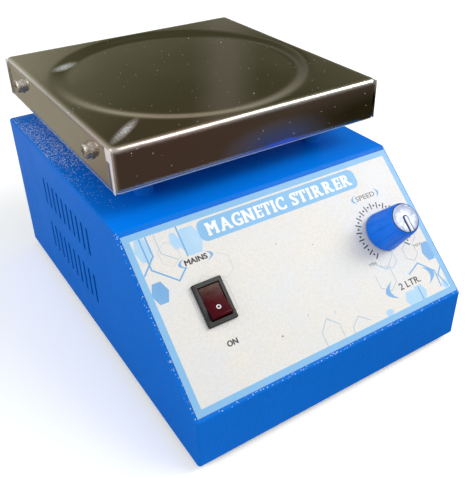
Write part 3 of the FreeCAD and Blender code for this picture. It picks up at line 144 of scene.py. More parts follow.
class Network:
    """Node tree being built, with short ways to add its nodes and to feed its shader or group outputs."""

    def __init__(self, tree, inputs):
        self.tree = tree
        self.link = tree.links.new
        self.inputs = inputs

    def add(self, kind, inputs=None, **settings):
        """Add a node, set its settings, and link or set its inputs."""
        node = self.tree.nodes.new("ShaderNode" + kind)
        for name, value in settings.items():
            setattr(node, name, value)
        for name, value in (inputs or {}).items():
            if isinstance(value, bpy.types.NodeSocket):
                self.link(value, node.inputs[name])
            else:
                node.inputs[name].default_value = value
        return node

    def give(self, **values):
        """Link values to the sockets that this network feeds."""
        for label, value in values.items():
            self.link(value, self.inputs[socket_name(label)])

    def maths(self, operation, first, second=0.0, clamp=False):
        """Number worked out from one or two others."""
        return self.add("Math", {0: first, 1: second}, operation=operation, use_clamp=clamp).outputs[0]

    def times(self, first, second, clamp=False):
        return self.maths("MULTIPLY", first, second, clamp)

    def plus(self, first, second, clamp=False):
        return self.maths("ADD", first, second, clamp)

    def most(self, first, second):
        return self.maths("MAXIMUM", first, second)

    def weigh(self, first, share, second):
        """Sum of two numbers of which the first counts for a share and the second for the rest."""
        return self.plus(self.times(first, share), self.times(second, 1.0 - share))

    def axes(self, vector):
        return self.add("SeparateXYZ", {0: vector}).outputs

    def vector(self, *parts):
        return self.add("CombineXYZ", dict(enumerate(parts))).outputs[0]

    def vectors(self, operation, first, second=(0.0, 0.0, 0.0)):
        """Vector worked out from two others, or the number that a length or a dot product gives."""
        node = self.add("VectorMath", {0: first, 1: second}, operation=operation)
        return node.outputs["Value" if operation in ("LENGTH", "DOT_PRODUCT") else "Vector"]

    def placed(self, vector, place, turn, scale=(1.0, 1.0, 1.0)):
        """Vector as seen from a place with its own turn and scale."""
        inputs = {"Vector": vector, "Location": place, "Rotation": turn, "Scale": scale}
        return self.add("Mapping", inputs, vector_type="TEXTURE").outputs[0]

    def spread(self, value, low, high, start=0.0, end=1.0):
        """Value moved from one range to another, held at its ends."""
        inputs = {"Value": value, "From Min": start, "From Max": end, "To Min": low, "To Max": high}
        return self.add("MapRange", inputs).outputs["Result"]

    def toned(self, pattern, low=0.0, high=1.0):
        """Tone of a group's pattern, spread over a range."""
        return self.spread(pattern["Tone"], low, high, 0.3, 0.7)

    def blend(self, mask, first, second):
        """Colour that goes from the first to the second as the mask goes from 0 to 1."""
        ends = [value if isinstance(value, bpy.types.NodeSocket) else (*value, 1.0)
                for value in (first, second)]
        return self.add("Mix", {"Factor": mask, 6: ends[0], 7: ends[1]}, data_type="RGBA").outputs[2]

    def noise(self, where, scale, detail=2.0, roughness=0.5, distortion=0.0):
        """Level of a cloudy pattern."""
        inputs = {"Vector": where, "Scale": scale, "Detail": detail, "Roughness": roughness,
                  "Distortion": distortion}
        return self.add("TexNoise", inputs).outputs["Fac"]

    def normal(self, kind="Normal"):
        return self.add("NewGeometry").outputs[kind]

    def upward(self):
        """How far the surface faces up, from -1 to 1."""
        return self.axes(self.normal())[2]

    def specks(self, where, scale, share, reach):
        """Mask of small round specks in a share of the cells of a pattern."""
        cells = self.add("TexVoronoi", {"Vector": where, "Scale": scale})
        chance = self.add("SeparateColor", {0: cells.outputs["Color"]}).outputs[0]
        return self.times(self.maths("LESS_THAN", chance, share),
                          self.maths("LESS_THAN", cells.outputs["Distance"], reach))

    def soft_spot(self, where, place, turn, reach):
        """Mask that fades out over an ellipsoid at a place, turned about the vertical by some degrees."""
        inside = self.placed(where, place, (0.0, 0.0, math.radians(turn)), reach)
        return self.spread(self.vectors("LENGTH", inside), 1.0, 0.0, 0.25, 1.0)

    def group(self, name, where, **values):
        """Outputs of a shared group, placed with its own values."""
        node = self.add("Group", node_tree=bpy.data.node_groups[name])
        self.link(where, node.inputs["Vector"])
        for label, value in values.items():
            node.inputs[socket_name(label)].default_value = value
        return node.outputs

    def bump(self, height, strength, distance, **facing):
        """Raise the surface by a height pattern, over another Normal if one is given."""
        inputs = {"Height": height, "Strength": strength, "Distance": distance, **facing}
        self.give(normal=self.add("Bump", inputs).outputs[0])


def new_group(name, inputs, outputs):
    """Empty shader group with named inputs and number outputs, as a network, and its given values."""
    tree = bpy.data.node_groups.new(name, "ShaderNodeTree")
    sockets = tree.interface.new_socket
    sockets(name="Vector", in_out="INPUT", socket_type="NodeSocketVector")
    for label, default in inputs.items():
        kind = "NodeSocketVector" if isinstance(default, tuple) else "NodeSocketFloat"
        sockets(name=label, in_out="INPUT", socket_type=kind).default_value = default
    for label in outputs:
        sockets(name=label, in_out="OUTPUT", socket_type="NodeSocketFloat")
    given = tree.nodes.new("NodeGroupInput").outputs
    return Network(tree, tree.nodes.new("NodeGroupOutput").inputs), given


def orange_peel_group():
    """Pebbled skin of a powder coat, with a mask of small specks where glints are painted."""
    net, given = new_group("orange_peel", {"Peel Scale": 900.0, "Fleck Scale": 700.0, "Fleck Share": 0.03},
                           ("Tone", "Height", "Fleck"))
    where = given["Vector"]
    lumps = net.noise(where, given["Peel Scale"], 2.0, 0.55)
    inputs = {"Vector": where, "Scale": given["Peel Scale"], "Smoothness": 0.6}
    pebbles = net.add("TexVoronoi", inputs, feature="SMOOTH_F1").outputs["Distance"]
    broad = net.noise(where, 22.0, 3.0, 0.6)
    net.give(tone=net.weigh(broad, 0.6, lumps), height=net.plus(net.times(lumps, 0.7), pebbles),
             fleck=net.specks(where, given["Fleck Scale"], given["Fleck Share"], 0.42))


def moulded_grain_group():
    """Fine even grain of a moulding, a casting or a rubber part."""
    net, given = new_group("moulded_grain", {"Grain Scale": 2500.0, "Cloud Scale": 90.0}, ("Tone", "Height"))
    fine = net.noise(given["Vector"], given["Grain Scale"], 2.0, 0.6)
    clouds = net.noise(given["Vector"], given["Cloud Scale"], 3.0, 0.55)
    net.give(tone=net.weigh(clouds, 0.7, fine), height=fine)


def drawn_lines_group():
    """Lines that rolling, drawing or brushing leaves, with the stretch for each direction as an input."""
    net, given = new_group("drawn_lines", {"Stretch": (60.0, 4000.0, 4000.0), "Cloud Scale": 40.0},
                           ("Tone", "Height"))
    lines = net.noise(net.vectors("MULTIPLY", given["Vector"], given["Stretch"]), 1.0, 3.0, 0.65)
    clouds = net.noise(given["Vector"], given["Cloud Scale"], 4.0, 0.6)
    net.give(tone=net.weigh(lines, 0.55, clouds), height=lines)


def turned_rings_group():
    """Rings and rays of a face turned on a lathe, about the z axis of the given place."""
    net, given = new_group("turned_rings", {"Ring Scale": 5000.0, "Ray Scale": 2.2}, ("Tone", "Height"))
    across, along, _ = net.axes(given["Vector"])
    reach = net.maths("SQRT", net.plus(net.times(across, across), net.times(along, along)))
    angle = net.maths("ARCTAN2", along, across)
    rings = net.noise(net.vector(net.times(reach, given["Ring Scale"])), 1.0, 2.0, 0.6)
    ray_place = net.vector(net.times(net.maths("COSINE", angle), given["Ray Scale"]),
                           net.times(net.maths("SINE", angle), given["Ray Scale"]), net.times(reach, 180.0))
    rays = net.noise(ray_place, 1.0, 4.0, 0.65, 0.8)
    net.give(tone=net.weigh(rays, 0.75, rings), height=rings)


def edge_wear_group():
    """Mask of the edges that handling rubs bright, broken up by a noise."""
    net, given = new_group("edge_wear", {"Radius": 0.0008, "Break Up": 700.0, "Amount": 0.6}, ("Mask",))
    rounded = net.add("Bevel", {"Radius": given["Radius"]}, samples=4).outputs[0]
    edge = net.spread(net.vectors("DOT_PRODUCT", rounded, net.normal()), 1.0, 0.0, 0.90, 0.995)
    broken = net.spread(net.noise(given["Vector"], given["Break Up"], 3.0, 0.7), 0.0, 1.0, 0.42, 0.62)
    net.give(mask=net.times(net.times(edge, broken), given["Amount"], True))


def settled_dust_group():
    """Mask of the thin dust and smudges that settle on faces turned up."""
    net, given = new_group("settled_dust", {"Scale": 60.0, "Amount": 0.3}, ("Mask",))
    lying = net.spread(net.upward(), 0.15, 1.0, 0.0, 0.9)
    patches = net.spread(net.noise(given["Vector"], given["Scale"], 6.0, 0.7), 0.0, 1.0, 0.38, 0.72)
    net.give(mask=net.times(net.times(patches, lying), given["Amount"], True))


def hairline_scratches_group():
    """Mask of hairline scratches that run in bundles."""
    net, given = new_group("hairline_scratches", {"Stretch": (40.0, 900.0, 400.0), "Share": 0.5}, ("Mask",))
    bend = net.vector(0.0, net.times(net.noise(given["Vector"], 30.0, 2.0), 2.5))
    where = net.vectors("ADD", net.vectors("MULTIPLY", given["Vector"], given["Stretch"]), bend)
    cells = net.add("TexVoronoi", {"Vector": where, "Scale": 1.0}, feature="DISTANCE_TO_EDGE")
    line = net.spread(cells.outputs["Distance"], 1.0, 0.0, 0.0, 0.03)
    bundles = net.spread(net.noise(given["Vector"], 55.0, 3.0), 0.0, 1.0, 0.5, 0.65)
    net.give(mask=net.times(net.times(line, bundles), given["Share"]))


GROUP_MAKERS = (orange_peel_group, moulded_grain_group, drawn_lines_group, turned_rings_group,
                edge_wear_group, settled_dust_group, hairline_scratches_group)


# ---- finishes ----

def lit(tint, share):
    """Colour made lighter or darker by a share."""
    return tuple(part * share for part in tint)


def new_finish(name, **sockets):
    """Material as a network, with the constants of its shader, and the coordinates on its piece."""
    material = bpy.data.materials.new(name)
    material.use_nodes = True
    inputs = material.node_tree.nodes["Principled BSDF"].inputs
    for label, value in sockets.items():
        inputs[socket_name(label)].default_value = value
    net = Network(material.node_tree, inputs)
    return net, net.add("TexCoord").outputs["Object"]


DUST = (0.55, 0.54, 0.52)


def worn_finish(name, base, shade, rough, texture, bump, wear=None, dust=None, place=None, **sockets):
    """Finish with a tone pattern, a relief, rubbed edges and settled dust.

    base and shade are its two colours, rough its lowest and highest roughness, texture a group's name and
    values, bump its strength and depth, wear a colour and values, dust values, and place the middle and turn
    of a pattern that has its own.
    """
    net, coords = new_finish(name, **sockets)
    where = net.placed(coords, place.translation, place.to_euler()) if place is not None else coords
    group, values = texture
    pattern = net.group(group, where, **values)
    paint = net.blend(net.toned(pattern), base, shade)
    gloss = net.toned(pattern, *rough)
    if wear:
        metal, settings = wear
        paint = net.blend(net.group("edge_wear", coords, **settings)["Mask"], paint, metal)
    if dust:
        mask = net.group("settled_dust", coords, **dust)["Mask"]
        paint = net.blend(mask, paint, DUST)
        gloss = net.plus(gloss, net.times(mask, 0.5), True)
    net.give(base_color=paint, roughness=gloss)
    net.bump(pattern["Height"], *bump)


def metal_row(base, shade, rough, stretch=None, bump=(0.15, 0.00005)):
    """Row for a metal: drawn lines where a stretch is given, and a cast grain elsewhere."""
    texture = ("drawn_lines", {"stretch": stretch}) if stretch else ("moulded_grain", {})
    wear = (tuple(min(1.0, part * 1.25) for part in base), {"amount": 0.4, "radius": 0.0004})
    return {"base": base, "shade": shade, "rough": rough, "texture": texture, "bump": bump, "wear": wear,
            "dust": {"amount": 0.12}, "metallic": 1.0}


def plastic_row(base, shade, rough, bump=(0.2, 0.00004), grain=2500.0, **sockets):
    """Row for a moulded part: fine grain, slightly lighter on its edges."""
    wear = (tuple(part * 0.75 + 0.12 for part in base), {"amount": 0.35, "radius": 0.0004})
    return {"base": base, "shade": shade, "rough": rough, "bump": bump, "wear": wear,
            "texture": ("moulded_grain", {"grain_scale": grain}), "dust": {"amount": 0.10}, **sockets}


def print_row(base, shade, rough=(0.32, 0.46)):
    """Row for an ink or a satin paint."""
    return plastic_row(base, shade, rough, specular_ior_level=0.3)


# Stretch of the drawn lines that run along each axis.
ALONG_X = (50.0, 3500.0, 3500.0)
ALONG_Z = (3500.0, 3500.0, 50.0)

PLAIN_FINISHES = {
    "zinc_sheet": metal_row((0.60, 0.62, 0.64), (0.47, 0.49, 0.52), (0.28, 0.45), ALONG_X),
    "plated_screws": {**metal_row((1.0, 0.94, 0.84), (0.30, 0.24, 0.19), (0.06, 0.30), None, (1.0, 0.0004)),
                      "texture": ("moulded_grain", {"grain_scale": 1400.0, "cloud_scale": 650.0})},
    "aluminium": metal_row((0.80, 0.81, 0.83), (0.62, 0.63, 0.65), (0.26, 0.42), ALONG_Z),
    "motor_steel": metal_row((0.58, 0.59, 0.60), (0.42, 0.43, 0.45), (0.24, 0.40), ALONG_Z),
    "bronze": metal_row((0.62, 0.42, 0.24), (0.42, 0.27, 0.14), (0.35, 0.55)),
    "brass": metal_row((0.83, 0.66, 0.32), (0.66, 0.49, 0.20), (0.20, 0.38), ALONG_X),
    "iron_laminations": metal_row((0.30, 0.30, 0.31), (0.16, 0.16, 0.18),
                                  (0.38, 0.58), (200.0, 200.0, 4500.0)),
    "copper": metal_row((0.86, 0.46, 0.30), (0.66, 0.30, 0.18), (0.22, 0.38), ALONG_Z),
    "nickel_magnet": metal_row((0.76, 0.76, 0.74), (0.62, 0.62, 0.60), (0.10, 0.24)),
    "black_rubber": plastic_row((0.022, 0.022, 0.023), (0.045, 0.045, 0.046),
                                (0.62, 0.85), (0.5, 0.00010), 1800.0),
    "black_plastic": plastic_row((0.018, 0.018, 0.020), (0.034, 0.034, 0.037), (0.34, 0.52)),
    "ferrite": plastic_row((0.045, 0.043, 0.044), (0.085, 0.08, 0.08),
                           (0.50, 0.72), (0.4, 0.00008), 1500.0),
    "carbon": plastic_row((0.030, 0.030, 0.032), (0.06, 0.06, 0.063), (0.42, 0.62)),
    "pointer_white": plastic_row((0.80, 0.82, 0.86), (0.70, 0.73, 0.80), (0.25, 0.40)),
    "switch_grey": plastic_row((0.012, 0.013, 0.013), (0.024, 0.025, 0.025), (0.42, 0.58), (0.25, 0.00005),
                               specular_ior_level=0.28),
    "board_green": plastic_row((0.012, 0.11, 0.045), (0.02, 0.16, 0.06),
                               (0.22, 0.38), (0.1, 0.00003), 900.0),
    "standoff_nylon": plastic_row((0.78, 0.76, 0.68), (0.66, 0.64, 0.56), (0.38, 0.55)),
    "block_green": plastic_row((0.03, 0.27, 0.10), (0.05, 0.36, 0.14), (0.35, 0.52)),
    "capacitor_blue": plastic_row((0.03, 0.07, 0.26), (0.05, 0.10, 0.34), (0.22, 0.35)),
    "lead_sheath": plastic_row((0.05, 0.05, 0.055), (0.09, 0.09, 0.095), (0.36, 0.52)),
    "deep_blue": plastic_row((0.004, 0.022, 0.12), (0.006, 0.03, 0.16),
                             (0.45, 0.60), specular_ior_level=0.2),
    "white_print": plastic_row((0.84, 0.85, 0.87), (0.76, 0.78, 0.82), (0.30, 0.45)),
    "black_print": print_row((0.012, 0.013, 0.022), (0.03, 0.03, 0.042), (0.34, 0.50)),
    "grey_print": plastic_row((0.085, 0.09, 0.10), (0.14, 0.145, 0.155), (0.34, 0.50)),
    "wash_print": print_row((0.32, 0.55, 0.77), (0.44, 0.64, 0.82)),
    # Bright, barely metallic steel of the front-left corner: the unpolished weld strip, with a painted highlight
    # in its brightness.
    "seam_steel": {**metal_row((0.92, 0.88, 0.88), (0.70, 0.62, 0.61),
                               (0.22, 0.42), ALONG_Z, (0.5, 0.0001)),
                   "metallic": 0.15},
    # Spacer posts: a blue darker than the housing, as painted shade under the plate.
    "post_shade_blue": print_row((0.0, 0.14, 0.55), (0.0, 0.18, 0.62), (0.30, 0.45)),
    "mid_blue_print": print_row((0.13, 0.34, 0.64), (0.18, 0.41, 0.70)),
    "pale_print": print_row((0.50, 0.56, 0.57), (0.60, 0.63, 0.62), (0.34, 0.46)),
    "faint_print": print_row((0.28, 0.44, 0.56), (0.40, 0.54, 0.64), (0.34, 0.46)),
}


def paint_finish(name, base):
    """Powder coat: pebbled skin, folds rubbed bright, faces turned up painted lighter as painted light, and
    painted glints.

    The painted glints crowd along the left of the roof and along the rough paint at the label's left and lower
    edges.
    """
    net, coords = new_finish(name, specular_ior_level=0.09)
    side, back, _ = net.axes(coords)
    up = net.upward()
    # Painted glints: white specks crowd on a strip at the left of the roof, where direct light glints on the coat.
    strip = net.times(net.spread(side, 1.0, 0.0, -0.070, -0.050), net.spread(back, 0.0, 1.0, -0.03, 0.03))
    patches = net.spread(net.noise(coords, 60.0, 2.0), 0.3, 1.0, 0.4, 0.6)
    strip = net.times(net.times(strip, patches), net.spread(up, 0.0, 1.0, 0.9, 0.97))
    # They also crowd in a thin rim along the label's left and lower edges, painted as glints on the rough paint
    # there.
    across, rise, out = net.axes(net.placed(coords, SLOPE.translation, SLOPE.to_euler()))
    below = net.times(net.spread(rise, 1.0, 0.0, -0.0877, -0.0873),
                      net.spread(rise, 0.0, 1.0, -0.0890, -0.0884))
    rim = net.most(net.spread(across, 1.0, 0.0, -0.0787, -0.0784), below)
    crowd = net.most(strip, net.times(rim, net.spread(out, 0.0, 0.30, -0.0012, -0.0004)))
    skin = net.group("orange_peel", coords, fleck_scale=1450.0)
    net.link(net.spread(crowd, 0.0, 0.65), skin["Tone"].node.inputs["Fleck Share"])
    paint = net.blend(net.toned(skin), base, lit(base, 0.86))
    # Painted light: faces turned up are painted lighter than the rest of the coat.
    paint = net.blend(net.spread(up, 0.0, 1.0, 0.8, 0.95), paint, lit(base, 1.2))
    rubbed = net.group("edge_wear", coords, amount=0.15, radius=0.0012)["Mask"]
    paint = net.blend(rubbed, paint, (0.02, 0.32, 0.95))
    # Painted glints: near-white specks where the glint mask falls.
    fleck = net.times(skin["Fleck"], net.spread(crowd, 0.35, 1.0))
    net.give(base_color=net.blend(fleck, paint, (0.88, 0.95, 1.0)), roughness=net.toned(skin, 0.32, 0.48))
    net.bump(skin["Height"], 0.5, 0.00018)


def film_finish(name, base):
    """Printed polyester label: soft mottling, tiny specks and a satin skin."""
    net, coords = new_finish(name, specular_ior_level=0.3)
    grain = net.group("moulded_grain", coords, grain_scale=900.0, cloud_scale=45.0)
    warm = (base[0] * 1.03, base[1], base[2] * 0.95)
    cool = (base[0] * 0.93, base[1] * 0.97, base[2] * 1.04)
    paper = net.blend(net.spread(grain["Tone"], 0.0, 1.0, 0.36, 0.64), cool, warm)
    fine = net.spread(grain["Height"], 0.0, 1.0, 0.40, 0.60)
    paper = net.blend(net.times(fine, 0.5), paper, lit(base, 0.86))
    fine_marks = net.specks(coords, 110.0, 0.14, 0.06)
    net.give(base_color=net.blend(fine_marks, paper, (0.30, 0.28, 0.26)), roughness=net.toned(grain, 0.30, 0.42))
    net.bump(grain["Height"], 0.2, 0.00006)


# Soft spots of painted reflection and highlight on the polished sheet: place, turn in degrees and reach, with the
# painted colour before them.
STEEL_REFLECTIONS = (
    ((0.64, 0.50, 0.45), (-0.045, -0.030, 0.128), 0.0, (0.055, 0.035, 0.05)),
    ((0.17, 0.19, 0.09), (0.075, -0.043, 0.113), 0.0, (0.075, 0.012, 0.0145)),
    ((0.96, 0.92, 0.88), (-0.075, 0.085, 0.131), 0.0, (0.06, 0.055, 0.008)),
)
# Soft spot of a painted blue reflection on the sheet: place, turn in degrees and reach.
BLUE_REFLECTION_SPOT = ((0.012, -0.042, 0.110), 0.0, (0.035, 0.01, 0.012))
# Painted highlight streaks on the sheet: place, turn in degrees and reach.
HIGHLIGHT_STREAKS = (((-0.0615, -0.028, 0.1284), 42.8, (0.0170, 0.0034, 0.01)),
          ((-0.052, 0.0724, 0.128), 34.5, (0.012, 0.0036, 0.01)))


def steel_finish(name, base):
    """Polished stainless sheet: slight waves, faint rolling lines, hairline scratches, specks, and painted
    reflections and highlights, whose highlight streaks are also rougher.
    """
    net, coords = new_finish(name, metallic=1.0)
    lines = net.group("drawn_lines", coords, stretch=(22.0, 900.0, 900.0), cloud_scale=16.0)
    scratch = net.group("hairline_scratches", coords, share=0.35)["Mask"]
    smudge = net.group("settled_dust", coords, scale=26.0, amount=0.30)["Mask"]
    sheet = net.blend(net.spread(lines["Tone"], 0.0, 1.0, 0.35, 0.65), base, lit(base, 0.93))
    # Painted reflections and highlights: soft spots of brown, olive and near-white.
    for tint, *spot in STEEL_REFLECTIONS:
        sheet = net.blend(net.soft_spot(coords, *spot), sheet, tint)
    # Painted reflection: a soft blue spot, which is also less metallic.
    blue_reflection = net.soft_spot(coords, *BLUE_REFLECTION_SPOT)
    sheet = net.blend(blue_reflection, sheet, (0.16, 0.24, 0.66))
    sheet = net.blend(scratch, sheet, (0.75, 0.73, 0.70))
    # Painted highlight streaks: near-white, rougher and less metallic, broken up by a noise.
    highlight_streak = net.most(*(net.soft_spot(coords, *spot) for spot in HIGHLIGHT_STREAKS))
    highlight_streak = net.times(highlight_streak, net.spread(net.noise(coords, 900.0, 2.0), 0.45, 0.85, 0.35, 0.6))
    sheet = net.blend(highlight_streak, sheet, (0.86, 0.90, 0.95))
    fine_marks = net.most(net.specks(coords, 160.0, 0.12, 0.06), net.specks(coords, 700.0, 0.05, 0.12))
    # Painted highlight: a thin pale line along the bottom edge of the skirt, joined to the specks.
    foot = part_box("top_plate")[0].z
    bottom_edge_highlight = net.spread(net.axes(coords)[2], 0.8, 0.0, foot + 0.0003, foot + 0.0007)
    fine_marks = net.most(fine_marks, bottom_edge_highlight)
    plain = net.most(fine_marks, net.most(net.times(blue_reflection, 0.16), net.times(highlight_streak, 0.6)))
    gloss = net.plus(net.toned(lines, 0.045, 0.060), net.times(smudge, 0.16))
    gloss = net.plus(gloss, net.times(scratch, 0.25), True)
    gloss = net.plus(gloss, net.times(highlight_streak, 0.3), True)
    net.give(base_color=net.blend(fine_marks, sheet, (0.95, 0.94, 0.90)), roughness=gloss,
             metallic=net.maths("SUBTRACT", 1.0, plain))
    height = net.plus(net.noise(coords, 14.0, 1.0, 0.4), net.times(lines["Height"], 0.004))
    rounded = net.add("Bevel", {"Radius": 0.0034}, samples=8).outputs[0]
    net.bump(height, 1.0, 0.0005, Normal=rounded)


def rocker_finish(name, base):
    """Clear red moulding: deep red on its lower half, a paler brown painted reflection toward its top edge, and
    painted shade on its side faces.
    """
    net, coords = new_finish(name, specular_ior_level=0.10)
    rise = net.axes(net.placed(coords, SLOPE.translation, SLOPE.to_euler()))[1]
    height = net.maths("SUBTRACT", rise, pivot_spot("rocker_tilt").y * MM)
    grain = net.group("moulded_grain", coords, cloud_scale=260.0)
    cloud = net.spread(grain["Tone"], 0.0, 1.0, 0.35, 0.65)
    deep = net.blend(cloud, base, lit(base, 1.6))
    # Painted reflection: a paler brown over the upper part of the rocker.
    brown = net.blend(cloud, (0.050, 0.024, 0.020), (0.11, 0.060, 0.046))
    tint = net.blend(net.spread(height, 0.0, 1.0, 0.0005, 0.0075), deep, brown)
    # Painted shade: the side faces are darkened almost to black.
    shaded_sides = net.maths("ABSOLUTE", net.axes(net.normal("True Normal"))[0])
    tint = net.blend(net.spread(shaded_sides, 0.0, 1.0, 0.6, 0.9), tint, (0.010, 0.002, 0.003))
    rubbed = net.group("edge_wear", coords, amount=0.4, radius=0.0006)["Mask"]
    net.give(base_color=net.blend(rubbed, tint, (0.28, 0.03, 0.03)), roughness=net.toned(grain, 0.18, 0.34))
    net.bump(grain["Height"], 0.1, 0.00005)


def glass_finish(name):
    """Clear glass tube with faint smears."""
    net, coords = new_finish(name, transmission_weight=1.0, ior=1.5)
    grain = net.group("moulded_grain", coords, cloud_scale=250.0)
    net.give(base_color=net.blend(grain["Tone"], (0.95, 0.97, 0.96), (0.86, 0.90, 0.89)),
             roughness=net.spread(grain["Tone"], 0.02, 0.12))


def make_finishes(colours):
    """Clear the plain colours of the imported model, then build the shared groups and every finish."""
    for plain in list(bpy.data.materials):
        bpy.data.materials.remove(plain)
    for maker in GROUP_MAKERS:
        maker()
    for name, row in PLAIN_FINISHES.items():
        worn_finish(name, **row)
    paint_finish("blue_paint", tuple(colours.paint))
    film_finish("printed_film", tuple(colours.ground))
    steel_finish("stainless", tuple(colours.steel))
    glass_finish("fuse_glass")
    rocker_finish("rocker_red", tuple(colours.rocker))
    border = tuple(colours.border)
    worn_finish("pale_blue_print", border, tuple(part * 0.93 + 0.02 for part in border), (0.32, 0.44),
                ("moulded_grain", {"grain_scale": 900.0}), (0.3, 0.00006), dust={"amount": 0.01},
                specular_ior_level=0.3)
    knob = tuple(colours.knob)
    worn_finish("knob_blue", knob, (knob[0] * 0.8, knob[1] * 0.78, knob[2] * 0.88), (0.34, 0.46),
                ("moulded_grain", {"cloud_scale": 160.0}), (0.15, 0.00005),
                wear=((0.01, 0.32, 0.98), {"amount": 0.45, "radius": 0.0007}), dust={"amount": 0.005},
                specular_ior_level=0.22)
    worn_finish("knob_silver", (0.54, 0.60, 0.76), (0.22, 0.25, 0.36), (0.30, 0.50),
                ("turned_rings", {"ring_scale": 3500.0}), (0.15, 0.00003), place=pivot_place("knob_turn"),
                metallic=0.35)


# ---- mesh building, in millimetres ----

# Points closer than this are joined.
MERGE = 0.0005


def save_piece(bm, name, finish, body, place, smooth=35.0):
    """Close a bmesh, put it in place and make it a piece that rides on a body."""
    bmesh.ops.remove_doubles(bm, verts=bm.verts, dist=MERGE)
    bmesh.ops.recalc_face_normals(bm, faces=bm.faces)
    bmesh.ops.transform(bm, matrix=place, verts=bm.verts)
    mesh = bpy.data.meshes.new(name)
    bm.to_mesh(mesh)
    bm.free()
    mesh.shade_smooth()
    mesh.set_sharp_from_angle(angle=math.radians(smooth))
    mesh.materials.append(bpy.data.materials[finish])
    piece = bpy.data.objects.new(name, mesh)
    bpy.context.scene.collection.objects.link(piece)
    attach(piece, body)
    return piece


def print_piece(bm, name, finish, place=SLOPE):
    """Make a bmesh a printed piece of the label."""
    save_piece(bm, name, finish, BODY, place)


def bevel(bm, geom, offset, affect, segments):
    """Round off some corners or edges."""
    bmesh.ops.bevel(bm, geom=geom, offset=offset, affect=affect, segments=segments, profile=0.5, material=-1)


def rectangle(bm, wide, high):
    """Flat rectangle about the origin."""
    made = bmesh.ops.create_grid(bm, x_segments=1, y_segments=1, size=0.5)["verts"]
    bmesh.ops.scale(bm, vec=(wide, high, 1), verts=made)


def raise_faces(bm, thick, faces=None):
    """Raise faces of a flat shape, or all of them, into a closed plate."""
    raised = bmesh.ops.extrude_face_region(bm, geom=faces or bm.faces[:], use_keep_orig=True)["geom"]
    lifted = [item for item in raised if isinstance(item, bmesh.types.BMVert)]
    bmesh.ops.translate(bm, vec=(0, 0, thick), verts=lifted)


def ink_bar(bm, start, end, width, thick):
    """Straight printed bar between two points of the label, (x, down)."""
    first = Vector((start[0], -start[1], 0))
    last = Vector((end[0], -end[1], 0))
    run = last - first
    middle = (first + last) / 2 + Vector((0, 0, LABEL_TOP + thick / 2))
    turn = Matrix.Rotation(math.atan2(run.y, run.x), 4, "Z")
    size = Matrix.Diagonal((run.length + width * 0.9, width, thick, 1))
    bmesh.ops.create_cube(bm, size=1.0, matrix=Matrix.Translation(middle) @ turn @ size)


def ink_line(bm, spots, width, thick):
    """Printed line through several points of the label, its runs a hair apart in height where they cross."""
    for number, (start, end) in enumerate(zip(spots, spots[1:])):
        ink_bar(bm, start, end, width, thick * (1 + 0.12 * (number % 2)))


def ink_spot(bm, x, down, radius, thick, sides, turn=0.0, stretch=1.0):
    """Printed round or many-sided spot."""
    place = (Matrix.Translation((x, -down, LABEL_TOP + thick / 2)) @ Matrix.Diagonal((1, stretch, 1, 1))
             @ Matrix.Rotation(math.radians(turn), 4, "Z"))
    bmesh.ops.create_cone(bm, cap_ends=True, segments=sides, radius1=radius, radius2=radius, depth=thick,
                          matrix=place)


def ink_crescent(bm, x, down, high, bulge, width, side, thick):
    """Printed crescent that bows to one side, thickest in its middle."""
    made = bmesh.ops.create_grid(bm, x_segments=1, y_segments=18, size=1.0)["verts"]
    for vert in made:
        along = vert.co.y
        belly = 1 - along * along
        reach = bulge * belly if vert.co.x * side > 0 else bulge * belly - width * belly
        vert.co = Vector((x + side * reach, -down + along * high / 2, LABEL_TOP))
    raise_faces(bm, thick, list({face for vert in made for face in vert.link_faces}))


def letter_mesh(words):
    """Mesh of words in the built-in font, one unit thick about z = 0."""
    curve = bpy.data.curves.new("words", "FONT")
    curve.body = words
    curve.resolution_u = 3
    curve.extrude = 0.5
    holder = bpy.data.objects.new("words", curve)
    bpy.context.scene.collection.objects.link(holder)
    bpy.context.view_layer.update()
    mesh = bpy.data.meshes.new_from_object(holder.evaluated_get(bpy.context.evaluated_depsgraph_get()))
    bpy.data.objects.remove(holder)
    return mesh


def add_copy(bm, mesh, spot):
    """Add a mesh to a bmesh at a spot."""
    copy = mesh.copy()
    copy.transform(Matrix.Translation(spot))
    bm.from_mesh(copy)
    bpy.data.meshes.remove(copy)


def extent(verts):
    """Lowest and highest corner of some vertices."""
    spots = [vert.co for vert in verts]
    return [Vector([edge(spot[axis] for spot in spots) for axis in range(3)]) for edge in (min, max)]


def fitted(verts, wide, high, thick):
    """Matrix that centres vertices on the origin and gives them a whole width and height."""
    low, top = extent(verts)
    size = Matrix.Diagonal((wide / (top.x - low.x), high / (top.y - low.y), thick, 1))
    return size @ Matrix.Translation(-(low + top) / 2)


def ink_text(bm, words, x, down, high, wide, heavy, thick):
    """Printed words, centred on a point, with capitals of a given height and a given whole width.

    Heavier words are printed again a little to each side, a hair apart in height.
    """
    mesh = letter_mesh(words)
    mesh.transform(fitted(mesh.vertices, wide, high, thick))
    prints = ((0.0, 0.0, 0.0), (heavy, 0.0, 0.002), (-heavy, 0.0, 0.004), (0.0, heavy, 0.006))
    for right, up, lift in prints if heavy else prints[:1]:
        add_copy(bm, mesh, (x + right, -down + up, LABEL_TOP + thick / 2 + lift))
    bpy.data.meshes.remove(mesh)


